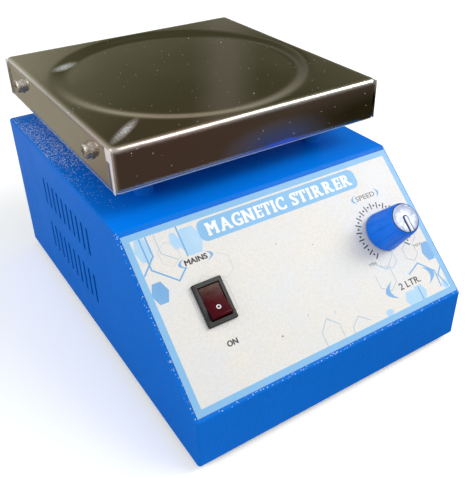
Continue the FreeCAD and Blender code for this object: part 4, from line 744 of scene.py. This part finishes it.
# Where the slab serifs of the title sit on each letter, in units of the font: feet and heads by the middle of
# their stem, tips by their place across and their lowest and highest point.
SERIF_FEET = {"M": (0.122, 0.66), "A": (0.05, 0.617), "N": (0.12,), "E": (0.125,), "T": (0.302,),
              "I": (0.125,), "R": (0.126, 0.555)}
SERIF_HEADS = {"M": (0.119, 0.664), "N": (0.113, 0.66), "E": (0.125,), "I": (0.125,), "R": (0.126,)}
SERIF_TIPS = {"E": ((0.455, 0.0, 0.22), (0.445, 0.46, 0.682)),
              "T": ((0.035, 0.46, 0.682), (0.57, 0.46, 0.682)),
              "C": ((0.64, 0.44, 0.69), (0.64, 0.02, 0.2)),
              "S": ((0.40, 0.47, 0.69), (0.06, 0.0, 0.21)),
              "G": ((0.62, 0.46, 0.69), (0.64, 0.02, 0.34))}
SERIF_HALF = 0.135
SERIF_THICK = 0.11
CAPITAL_HIGH = 0.682
LETTER_GAP = 0.025
HEAVY_SHIFT = 0.105
SLAB_LIFT = 0.04
# Room beside a side of a letter that has no serif, and the letters whose right side has one.
SIDE_ROOM = 0.05
SERIF_RIGHT = "MANIR"


def slab_word(bm, word, x, down, high, wide, thick):
    """Printed word in heavy letters with slab serifs, centred on a point of a printed band."""
    built = bmesh.new()
    pen = 0.0

    def slab(left, right, low, top):
        middle = ((left + right) / 2 + pen, (low + top) / 2, SLAB_LIFT)
        size = Matrix.Diagonal((right - left, top - low, 1.0, 1))
        bmesh.ops.create_cube(built, size=1.0, matrix=Matrix.Translation(middle) @ size)

    for letter in word:
        mesh = letter_mesh(letter)
        low, top = extent(mesh.vertices)
        reach = SERIF_HALF if letter in SERIF_FEET and letter != "T" else SIDE_ROOM
        pen += reach - low.x
        for shift, lift in ((0.0, 0.0), (HEAVY_SHIFT / 2, 0.02), (-HEAVY_SHIFT / 2, 0.01)):
            add_copy(built, mesh, (pen + shift, 0, lift))
        for stem in SERIF_FEET.get(letter, ()):
            slab(stem - SERIF_HALF, stem + SERIF_HALF, 0.0, SERIF_THICK)
        for stem in SERIF_HEADS.get(letter, ()):
            slab(stem - SERIF_HALF, stem + SERIF_HALF, CAPITAL_HIGH - SERIF_THICK, CAPITAL_HIGH)
        for across, start, end in SERIF_TIPS.get(letter, ()):
            slab(across - SERIF_THICK / 2, across + SERIF_THICK / 2, start, end)
        pen += top.x + (reach if letter in SERIF_RIGHT else SIDE_ROOM) + LETTER_GAP
        bpy.data.meshes.remove(mesh)
    middle = Matrix.Translation((x, -down, LABEL_TOP + thick + thick / 2))
    bmesh.ops.transform(built, matrix=middle @ fitted(built.verts, wide, high, thick), verts=built.verts)
    mesh = bpy.data.meshes.new("word")
    built.to_mesh(mesh)
    built.free()
    bm.from_mesh(mesh)
    bpy.data.meshes.remove(mesh)


def spun(profile, steps):
    """Closed shape from a profile of (radius, height) points turned about the z axis."""
    bm = bmesh.new()
    verts = [bm.verts.new((radius, 0, height)) for radius, height in profile]
    edges = [bm.edges.new(pair) for pair in zip(verts, verts[1:])]
    bmesh.ops.spin(bm, geom=verts + edges, cent=(0, 0, 0), axis=(0, 0, 1), angle=math.tau, steps=steps,
                   use_merge=True)
    bmesh.ops.remove_doubles(bm, verts=bm.verts, dist=MERGE)
    return bm


def merged_copy(node):
    """Copy of a CAD node's mesh with its loose triangles joined, as seen from the sloping face."""
    bm = bmesh.new()
    bm.from_mesh(frame["nodes"][node].data)
    bmesh.ops.transform(bm, matrix=SLOPE.inverted(), verts=bm.verts)
    bmesh.ops.remove_doubles(bm, verts=bm.verts, dist=2 * MERGE)
    bmesh.ops.dissolve_limit(bm, angle_limit=math.radians(1.0), verts=bm.verts, edges=bm.edges)
    return bm


# ---- operators ----

class StirrerPiece:
    """What the operators of this add-on share."""

    bl_options = {"REGISTER", "UNDO"}


# CAD parts given another finish than their slot's: the spacer posts get a blue darker than the housing, as painted
# shade under the plate.
CLOSER_FINISHES = {"spacer_posts": "post_shade_blue"}


class OBJECT_OT_stirrer_finishes(StirrerPiece, bpy.types.Operator):
    """Build every finish and give each CAD part its own"""

    bl_idname = "object.stirrer_finishes"
    bl_label = "Finishes"

    def execute(self, context):
        make_finishes(context.scene.stirrer_colours)
        for row in frame["record"]["subparts"]:
            node = frame["nodes"][row["node"]]
            node.data.materials.clear()
            finish = CLOSER_FINISHES.get(row["node"], row["material_slot"])
            node.data.materials.append(bpy.data.materials[finish])
        return {"FINISHED"}


# Outer size and middle of the border, and size, corner and middle of the band behind the title.
BORDER_SIZE = (156.6, 84.3)
BORDER_SPOT = (0.05, 44.9)
BAND_SIZE = (95.2, 10.7)
BAND_CORNER = 3.7
BAND_SPOT = (4.6, 12.1)


class OBJECT_OT_stirrer_border(StirrerPiece, bpy.types.Operator):
    """Print the pale blue border and the title band of the label"""

    bl_idname = "object.stirrer_border"
    bl_label = "Label Border"

    def execute(self, context):
        sizes = context.scene.stirrer_sizes
        thick = sizes.ink_thick / MM
        bm = bmesh.new()
        rectangle(bm, *BORDER_SIZE)
        rim = bmesh.ops.inset_region(bm, faces=bm.faces[:], thickness=sizes.border_wide / MM,
                                     use_boundary=True, use_even_offset=True)["faces"]
        middle = [face for face in bm.faces if face not in rim]
        bmesh.ops.delete(bm, geom=middle, context="FACES_ONLY")
        raise_faces(bm, thick)
        print_piece(bm, "label_border", "pale_blue_print", on_slope(*BORDER_SPOT, LABEL_TOP))

        band = bmesh.new()
        rectangle(band, *BAND_SIZE)
        bevel(band, band.verts[:], BAND_CORNER, "VERTICES", 8)
        raise_faces(band, thick)
        print_piece(band, "title_band", "pale_blue_print", on_slope(*BAND_SPOT, LABEL_TOP))
        return {"FINISHED"}


# Words of the label: text, middle across and down the face, and whole width. The captions have a height of
# capitals before the width, or None for the usual one, and after it how much heavier they are printed.
TITLE_WORDS = (("MAGNETIC", -16.2, 45.2), ("STIRRER", 29.1, 38.7))
CAPTIONS = (
    ("caption_lettering", "black_print", (
        ("MAINS", -49.6, 23.4, None, 11.5, 0.17), ("ON", -49.9, 64.0, None, 5.2, 0.17),
        ("2 LTR.", 52.7, 73.5, 3.5, 14.2, 0.08))),
    ("scale_end_lettering", "grey_print", (
        ("SPEED", 52.2, 23.5, None, 12.6, 0.05), ("MIN", 37.2, 57.4, 1.7, 4.4, 0.0),
        ("MAX", 68.6, 57.4, 1.7, 5.2, 0.0))),
)
# Crescents around the captions: place, height, how far they bow out, thickness and side.
BRACKETS = (
    (-54.4, 23.4, 5.2, 4.3, 1.5, -1), (-44.8, 23.4, 5.2, 4.2, 1.5, 1),
    (46.1, 23.5, 5.2, 3.2, 1.3, -1), (58.7, 23.5, 5.2, 2.8, 1.3, 1),
    (42.8, 73.6, 9.4, 6.4, 3.0, -1), (63.9, 73.6, 9.4, 6.0, 3.0, 1),
)


class OBJECT_OT_stirrer_words(StirrerPiece, bpy.types.Operator):
    """Print the title and the plain words beside the controls"""

    bl_idname = "object.stirrer_words"
    bl_label = "Label Words"

    def execute(self, context):
        sizes = context.scene.stirrer_sizes
        thick = sizes.ink_thick / MM
        title = bmesh.new()
        for word, middle, wide in TITLE_WORDS:
            slab_word(title, word, middle, BAND_SPOT[1], sizes.title_high / MM, wide, thick)
        print_piece(title, "title_lettering", "white_print")
        for name, finish, captions in CAPTIONS:
            bm = bmesh.new()
            for words, x, down, high, wide, heavy in captions:
                ink_text(bm, words, x, down, high or sizes.caption_high / MM, wide, heavy, thick)
            print_piece(bm, name, finish)
        marks = bmesh.new()
        for bracket in BRACKETS:
            ink_crescent(marks, *bracket, thick)
        print_piece(marks, "caption_brackets", "mid_blue_print")
        return {"FINISHED"}


# The scale has lines and, between them, dots: number of both, first turn and step in degrees, dot radius.
SCALE_COUNT = 37
SCALE_START = -135
SCALE_STEP = 7.5
DOT_RADIUS = 0.55


class OBJECT_OT_stirrer_scale(StirrerPiece, bpy.types.Operator):
    """Print the ring of lines and dots around the speed knob"""

    bl_idname = "object.stirrer_scale"
    bl_label = "Speed Scale"

    def execute(self, context):
        sizes = context.scene.stirrer_sizes
        thick = sizes.ink_thick / MM
        middle = sizes.scale_radius / MM
        reach = sizes.mark_long / MM / 2
        wide = sizes.mark_wide / MM
        centre = pivot_spot("knob_turn")
        bm = bmesh.new()
        for step in range(SCALE_COUNT):
            angle = math.radians(SCALE_START + SCALE_STEP * step)
            across, up = math.sin(angle), math.cos(angle)
            if step % 2:
                ink_spot(bm, centre.x + middle * across, -centre.y - middle * up, DOT_RADIUS, thick, 10)
            else:
                ends = [(centre.x + far * across, -centre.y - far * up)
                        for far in (middle - reach, middle + reach)]
                ink_bar(bm, *ends, wide, thick)
        print_piece(bm, "speed_scale", "black_print")
        return {"FINISHED"}


# Spots of the pattern: middle, radius and stretch down the face.
HEXAGON_SETS = (
    ("filled_hexagons", "mid_blue_print", ((-71.4, 31.9, 4.2, 1.35), (72.8, 62.4, 4.0, 1.45))),
    ("washed_hexagons", "wash_print", (
        (-71.2, 11.4, 4.0, 1.6), (-48.2, 14.2, 6.4, 1.2), (-55.5, 12.0, 2.4, 1.9), (50.0, 81.0, 4.6, 1.0),
        (56.0, 80.2, 4.2, 1.1), (33.5, 82.6, 2.6, 0.7), (73.4, 81.6, 2.4, 1.1))),
)
# Lines of the pattern, through points of the face, and hexagons drawn in lines: middle, radius and how many
# of their sides are there.
STEPPED_LINES = (
    ((-67.8, 6.2), (-67.8, 15.4), (-74.8, 22.4)),
    ((-70.9, 6.2), (-70.9, 21.1), (-60.8, 29.8), (-55.6, 25.3)),
    ((55.0, 69.5), (63.0, 66.1), (70.7, 73.3), (70.1, 81.8)),
    ((75.2, 72.6), (71.6, 75.9), (74.0, 82.8)),
    ((56.2, 77.4), (56.2, 83.8)),
    ((-52.4, 6.2), (-52.4, 20.4)),
)
FAINT_HEXAGONS = (
    (-60.5, 17.0, 5.2, 6), (-49.9, 44.0, 11.0, 6), (-39.0, 30.0, 5.6, 4),
    (40.5, 66.5, 6.0, 5), (62.0, 59.0, 4.6, 6), (47.6, 58.0, 4.6, 4), (66.5, 51.0, 3.6, 3),
)
FAINT_LINES = (
    ((-6.6, 83.8), (-6.6, 77.4), (-1.2, 72.0), (4.2, 77.0), (4.2, 83.8)),
    ((10.0, 83.8), (10.6, 81.0), (15.6, 77.4), (21.4, 81.8)),
    ((-63.8, 6.2), (-63.8, 15.5), (-57.4, 20.5)),
    ((37.0, 56.5), (43.5, 62.8), (50.5, 57.2), (50.5, 52.5)),
    ((-9.6, 67.6), (-9.0, 66.6)), ((4.4, 71.4), (5.0, 70.4)),
)
# Widths of the lines, and how thick their ink is as a share of the rest.
STEPPED_WIDE = 0.75
STEPPED_SHARE = 0.8
HEXAGON_WIDE = 0.36
FAINT_WIDE = 0.4
FAINT_SHARE = 0.4
# Drawn hexagons are stretched down the face, and each filled one lies a hair higher than the last.
HEXAGON_STRETCH = 1.15
SPOT_SHARE = 0.5
SPOT_RISE = 0.05


class OBJECT_OT_stirrer_pattern(StirrerPiece, bpy.types.Operator):
    """Print the pattern of hexagons and stepped lines in the corners of the label"""

    bl_idname = "object.stirrer_pattern"
    bl_label = "Label Pattern"

    def execute(self, context):
        thick = context.scene.stirrer_sizes.ink_thick / MM
        for name, finish, spots in HEXAGON_SETS:
            bm = bmesh.new()
            for number, (x, down, radius, stretch) in enumerate(spots):
                ink_spot(bm, x, down, radius, thick * (SPOT_SHARE + SPOT_RISE * number), 6, 30.0, stretch)
            print_piece(bm, name, finish)
        lines, faint, pale = bmesh.new(), bmesh.new(), bmesh.new()
        for spots in STEPPED_LINES:
            ink_line(lines, spots, STEPPED_WIDE, thick * STEPPED_SHARE)
        for x, down, radius, sides in FAINT_HEXAGONS:
            turns = [math.radians(60 * number) for number in range(sides + 1)]
            spots = [(x + radius * math.sin(turn), down - radius * HEXAGON_STRETCH * math.cos(turn))
                     for turn in turns]
            ink_line(pale if x < 0 else faint, spots, HEXAGON_WIDE, thick * FAINT_SHARE)
        for spots in FAINT_LINES:
            ink_line(faint, spots, FAINT_WIDE, thick * FAINT_SHARE)
        print_piece(lines, "stepped_lines", "mid_blue_print")
        print_piece(pale, "pale_hexagons", "pale_print")
        print_piece(faint, "faint_hexagons", "faint_print")
        return {"FINISHED"}


# Outlines spun about the knob's axis, (radius, height above the face), and the steps of their turn.
KNOB_OUTLINE = (
    (0, 16.5), (4.5, 16.5), (4.5, 5.9), (8.4, 5.9), (8.4, 0.9), (10.25, 0.9), (10.5, 1.15), (10.42, 2.0),
    (10.33, 2.8), (9.4, 11.0), (8.62, 17.8), (8.50, 18.9), (8.34, 19.6), (8.05, 20.15), (7.6, 20.45),
    (7.25, 20.5), (7.25, 19.4), (0, 19.4),
)
CAP_OUTLINE = (
    (0, 19.42), (7.2, 19.42), (7.2, 20.62), (7.08, 20.78), (6.9, 20.8), (6.78, 20.72), (3.0, 20.70),
    (0, 20.70),
)
# Ring that fills the gap between the cap and the shell, near-black dark blue as painted shade.
GAP_OUTLINE = ((7.2, 20.4), (7.7, 20.38), (7.7, 20.52), (7.2, 20.56), (7.2, 20.4))
KNOB_STEPS = 144
CAP_STEPS = 96
# Grooves of the knob: turn from one to the next, half turn of their floor and of their mouth in degrees, the
# share of their depth between the two, and the heights and radius that they keep to.
FLUTE_TURN = 30.0
FLUTE_FLOOR = 1.0
FLUTE_MOUTH = 3.0
FLUTE_SHARE = 0.45
FLUTE_LOW = 2.7
FLUTE_TOP = 18.9
FLUTE_REACH = 8.45
# Pointer pieces: name, finish, half width, top, inner end and outer end.
POINTERS = (
    ("pointer_frame", "deep_blue", 1.45, 21.0, -7.05, 1.6),
    ("pointer_bar", "pointer_white", 0.78, 21.25, -7.2, 0.95),
)
POINTER_FOOT = 20.3
# Rounding of their outer end, as a share of the half width, and of their upper edges.
POINTER_END = 0.98
POINTER_RIM = 0.16


class OBJECT_OT_stirrer_knob(StirrerPiece, bpy.types.Operator):
    """Model the speed knob with its grooves, its turned face and its pointer"""

    bl_idname = "object.stirrer_knob"
    bl_label = "Speed Knob"

    def execute(self, context):
        place = pivot_place("knob_turn")
        deep = context.scene.stirrer_sizes.flute_deep / MM
        bm = spun(KNOB_OUTLINE, KNOB_STEPS)
        for vert in bm.verts:
            reach = math.hypot(vert.co.x, vert.co.y)
            around = math.degrees(math.atan2(vert.co.y, vert.co.x)) % FLUTE_TURN
            away = min(around, FLUTE_TURN - around)
            if FLUTE_LOW < vert.co.z < FLUTE_TOP and reach > FLUTE_REACH and away < FLUTE_MOUTH:
                share = 1.0 if away < FLUTE_FLOOR else FLUTE_SHARE
                vert.co.xy *= 1 - deep * share / reach
        shell = save_piece(bm, "knob_shell", "knob_blue", KNOB_BODY, place, 40.0)
        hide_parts("knob")

        bm = spun(CAP_OUTLINE, CAP_STEPS)
        face = save_piece(bm, "knob_face", "knob_silver", KNOB_BODY, place)
        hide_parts("knob_cap")
        # Painted shade: a near-black ring in the gap around the cap.
        save_piece(spun(GAP_OUTLINE, CAP_STEPS), "knob_gap_shade", "deep_blue", KNOB_BODY, place)

        for name, finish, half, top, low, high in POINTERS:
            bm = bmesh.new()
            rectangle(bm, 2 * half, high - low)
            bmesh.ops.translate(bm, vec=(0, (high + low) / 2, POINTER_FOOT), verts=bm.verts)
            bevel(bm, [vert for vert in bm.verts if vert.co.y > 0], half * POINTER_END, "VERTICES", 6)
            raise_faces(bm, top - POINTER_FOOT)
            rim = [edge for edge in bm.edges if all(vert.co.z > top - 0.01 for vert in edge.verts)]
            bevel(bm, rim, POINTER_RIM, "EDGES", 2)
            bar = save_piece(bm, name, finish, KNOB_BODY, place)
        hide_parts("knob_pointer")
        return {"FINISHED"}


# Section of the ring printed on the rocker, (radius, height), and how far below the pivot it sits.
RING_OUTLINE = ((0.62, -0.05), (0.62, 0.03), (1.12, 0.03), (1.12, -0.05), (0.62, -0.05))
RING_DROP = 2.9
RING_STEPS = 32
# The rocker's edges that are rounded: least turn in degrees and least length.
ROUND_TURN = 40
ROUND_LONG = 3.0


class OBJECT_OT_stirrer_rocker(StirrerPiece, bpy.types.Operator):
    """Model the red rocker with rounded edges and its printed ring"""

    bl_idname = "object.stirrer_rocker"
    bl_label = "Mains Rocker"

    def execute(self, context):
        bm = merged_copy("rocker")
        outer = [edge for edge in bm.edges if edge.is_manifold and edge.calc_length() > ROUND_LONG
                 and edge.calc_face_angle() > math.radians(ROUND_TURN)]
        bevel(bm, outer, context.scene.stirrer_sizes.rocker_round / MM, "EDGES", 3)
        lens = save_piece(bm, "rocker_lens", "rocker_red", ROCKER_BODY, SLOPE, 50.0)
        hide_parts("rocker")

        skin = BVHTree.FromPolygons([vert.co for vert in lens.data.vertices],
                                    [face.vertices for face in lens.data.polygons])
        pivot = pivot_spot("rocker_tilt")
        start = SLOPE @ Vector((pivot.x, pivot.y - RING_DROP, 20.0))
        spot, normal, _, _ = skin.ray_cast(start, -Vector(JOINTS["knob_turn"]["axis"]))
        if spot is None:
            raise RuntimeError("the rocker has no face under its ring")
        lie = normal.to_track_quat("Z", "X").to_matrix().to_4x4()
        save_piece(spun(RING_OUTLINE, RING_STEPS), "rocker_ring", "white_print", ROCKER_BODY,
                   Matrix.Translation(spot) @ lie @ Matrix.Scale(MM, 4))
        return {"FINISHED"}


def lay_tab(bm, size, middle, side, round_off, taper=0.0):
    """Thin upright tab with its outer rim rounded; taper draws one lower corner in."""
    made = bmesh.ops.create_cube(bm, size=1.0)["verts"]
    bmesh.ops.scale(bm, vec=size, verts=made)
    foot = [vert for vert in made if vert.co.z < 0 and vert.co.y * taper < 0]
    bmesh.ops.translate(bm, vec=(0, taper, 0), verts=foot)
    rim = [edge for edge in bm.edges if all(vert in made and vert.co.x * side > 0 for vert in edge.verts)]
    bmesh.ops.translate(bm, vec=middle, verts=made)
    bevel(bm, rim, round_off, "EDGES", 2)


# Corner tabs of the plate: thickness and length, rounding, distance of their middle from the plate's end, how
# far they stand out and their lower corner is drawn in, how much shorter than the skirt they are and how far
# below its middle they sit.
TAB_THICK = 0.5
TAB_LONG = 2.2
TAB_ROUND = 0.18
TAB_IN = 1.3
TAB_OUT = 0.05
TAB_TAPER = 0.7
TAB_SHORT = 1.0
TAB_DROP = 0.6
# Lap over the seam at the front left: size, place from the plate's left, front and top, and rounding.
LAP_SIZE = (0.5, 4.8, 6.0)
LAP_PLACE = (-0.22, 3.1, -3.8)
LAP_ROUND = 0.2


class OBJECT_OT_stirrer_seams(StirrerPiece, bpy.types.Operator):
    """Model the folded corner tabs of the stirring plate, which lap its left and right skirts"""

    bl_idname = "object.stirrer_seams"
    bl_label = "Plate Corner Tabs"

    def execute(self, context):
        low, top = (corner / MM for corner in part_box("top_plate"))
        size = (TAB_THICK, TAB_LONG, top.z - low.z - TAB_SHORT)
        centre = (low.z + top.z) / 2 - TAB_DROP
        plain, bright = bmesh.new(), bmesh.new()
        for side in (-1, 1):
            for end, edge in ((1, low.y), (-1, top.y)):
                middle = ((top.x + TAB_OUT) * side, edge + TAB_IN * end, centre)
                # The front-left tab and the lap get the bright seam steel: the weld strip there, made bright as a
                # painted highlight.
                lay_tab(bright if side < 0 < end else plain, size, middle, side, TAB_ROUND, -TAB_TAPER * end)
        lay_tab(bright, LAP_SIZE, Vector((low.x, low.y, top.z)) + Vector(LAP_PLACE), -1, LAP_ROUND)
        save_piece(plain, "plate_corner_tabs", "stainless", BODY, Matrix.Scale(MM, 4))
        save_piece(bright, "front_left_seam", "seam_steel", BODY, Matrix.Scale(MM, 4))
        return {"FINISHED"}


def grey(level):
    """Colour of one level."""
    return (level, level, level)


def floor_finish():
    """Pale floor that looks darker in polished metal, as a room around it would, and glows to the camera, more
    with distance.
    """
    net, coords = new_finish("floor_paper", roughness=0.9, specular_ior_level=0.05, emission_strength=1.0)
    paper = net.blend(net.noise(coords, 6.0, 2.0), grey(0.93), grey(0.95))
    side, back, _ = net.axes(coords)
    lean = net.maths("SUBTRACT", back, side)
    room = net.blend(net.spread(lean, 0.0, 1.0, -0.15, 0.35), (0.065, 0.045, 0.034), (0.42, 0.38, 0.30))
    bounce = net.blend(net.spread(lean, 0.0, 1.0, -0.15, 0.2), (0.42, 0.42, 0.44), (0.98, 0.98, 1.0))
    rays = net.add("LightPath").outputs
    unseen = net.blend(rays["Is Glossy Ray"], bounce, room)
    far = net.spread(net.vectors("LENGTH", coords), 0.0, 1.0, 0.6, 3.0)
    backdrop_glow = net.blend(far, grey(0.28), grey(1.0))
    net.give(base_color=net.blend(rays["Is Camera Ray"], unseen, paper),
             emission_color=net.blend(rays["Is Camera Ray"], grey(0.0), backdrop_glow))
    return bpy.data.materials["floor_paper"]


def light_world(scene):
    """Even pale surroundings with a dim brown side behind the object, which the polished plate mirrors."""
    world = bpy.data.worlds.new("studio")
    world.use_nodes = True
    scene.world = world
    shader = world.node_tree.nodes["Background"].inputs
    net = Network(world.node_tree, shader)
    way = net.add("TexCoord").outputs["Generated"]

    def toward(direction):
        return net.vectors("DOT_PRODUCT", way, Vector(direction).normalized())

    level = toward((0.4545, 0.7105, 0.537))
    side = net.blend(net.spread(level, 0.0, 1.0, 0.86, 0.975), (0.50, 0.48, 0.36), (0.095, 0.092, 0.050))
    across = net.maths("ABSOLUTE", net.plus(toward((0.842, -0.539, 0.0)), 0.02))
    side = net.blend(net.spread(across, 0.35, 0.0, 0.01, 0.05), side, (0.34, 0.31, 0.27))
    room = net.blend(net.spread(level, 0.0, 1.0, 0.50, 0.80), (0.93, 0.96, 1.0), side)
    net.give(color=net.blend(net.add("LightPath").outputs["Is Camera Ray"], room, grey(1.35)))
    shader["Strength"].default_value = 0.80


# Lamps: name, place, aim, size, power in watts and colour.
LAMPS = (
    ("key_light", (1.0, -0.50, 0.80), (0.0, 0.0, 0.05), (0.5, 0.5), 6.4, (1.0, 0.98, 0.95)),
    ("fill_light", (-1.2, 0.10, 0.65), (0.0, 0.0, 0.05), (0.9, 0.9), 4.0, (0.95, 0.98, 1.0)),
    ("strip_light", (0.55, -0.62, 0.95), (0.0, 0.0, 0.1), (0.6, 0.42), 3.6, (1.0, 0.98, 0.92)),
)
# Camera: focal length in millimetres, shift, place, and its right, up and back directions.
LENS_LONG = 49.45
LENS_SHIFT = (-0.0081, -0.0259)
CAMERA_SPOT = (-0.1633, -0.2811, 0.2479)
CAMERA_AXES = ((0.83778, -0.54585, -0.01312), (0.30253, 0.44406, 0.84338), (-0.45453, -0.71053, 0.53716))
FLOOR_HALF = 40.0


class OBJECT_OT_stirrer_stage(StirrerPiece, bpy.types.Operator):
    """Set up the pale floor, the soft lights and the camera"""

    bl_idname = "object.stirrer_stage"
    bl_label = "Stage"

    def execute(self, context):
        scene = context.scene
        bm = bmesh.new()
        bmesh.ops.create_grid(bm, x_segments=1, y_segments=1, size=FLOOR_HALF)
        mesh = bpy.data.meshes.new("floor")
        bm.to_mesh(mesh)
        bm.free()
        mesh.materials.append(floor_finish())
        floor = bpy.data.objects.new("floor", mesh)
        scene.collection.objects.link(floor)
        light_world(scene)
        for name, spot, target, size, power, tint in LAMPS:
            lamp = bpy.data.lights.new(name, "AREA")
            lamp.shape = "RECTANGLE"
            lamp.size, lamp.size_y = size
            lamp.energy = power
            lamp.color = tint
            holder = bpy.data.objects.new(name, lamp)
            aim = Vector(target) - Vector(spot)
            holder.matrix_world = Matrix.Translation(spot) @ aim.to_track_quat("-Z", "Y").to_matrix().to_4x4()
            scene.collection.objects.link(holder)
        lens = bpy.data.cameras.new("camera")
        lens.lens = LENS_LONG
        lens.shift_x, lens.shift_y = LENS_SHIFT
        lens.clip_start = 0.01
        camera = bpy.data.objects.new("camera", lens)
        turn = Matrix(CAMERA_AXES).transposed().to_4x4()
        camera.matrix_world = Matrix.Translation(CAMERA_SPOT) @ turn
        scene.collection.objects.link(camera)
        scene.camera = camera
        scene.view_settings.view_transform = "Standard"
        return {"FINISHED"}


class VIEW3D_PT_stirrer(bpy.types.Panel):
    """Lists the sizes, the colours and the steps that build the stirrer"""

    bl_idname = "VIEW3D_PT_stirrer"
    bl_label = "Magnetic Stirrer"
    bl_space_type = "VIEW_3D"
    bl_region_type = "UI"
    bl_category = "Stirrer"

    def draw(self, context):
        layout = self.layout
        for group in (context.scene.stirrer_sizes, context.scene.stirrer_colours):
            for name in group.bl_rna.properties.keys():
                if name not in ("rna_type", "name"):
                    layout.prop(group, name)
        for step in STEPS:
            layout.operator(step.bl_idname)


STEPS = (
    OBJECT_OT_stirrer_finishes,
    OBJECT_OT_stirrer_border,
    OBJECT_OT_stirrer_words,
    OBJECT_OT_stirrer_scale,
    OBJECT_OT_stirrer_pattern,
    OBJECT_OT_stirrer_knob,
    OBJECT_OT_stirrer_rocker,
    OBJECT_OT_stirrer_seams,
    OBJECT_OT_stirrer_stage,
)
CLASSES = (StirrerSizes, StirrerColours, *STEPS, VIEW3D_PT_stirrer)


def register():
    for cls in CLASSES:
        bpy.utils.register_class(cls)
    bpy.types.Scene.stirrer_sizes = PointerProperty(type=StirrerSizes)
    bpy.types.Scene.stirrer_colours = PointerProperty(type=StirrerColours)


def unregister():
    del bpy.types.Scene.stirrer_colours
    del bpy.types.Scene.stirrer_sizes
    for cls in reversed(CLASSES):
        bpy.utils.unregister_class(cls)


def main():
    """Register the add-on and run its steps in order."""
    register()
    for step in STEPS:
        group, name = step.bl_idname.split(".")
        getattr(getattr(bpy.ops, group), name)()


if __name__ == "__main__":
    main()
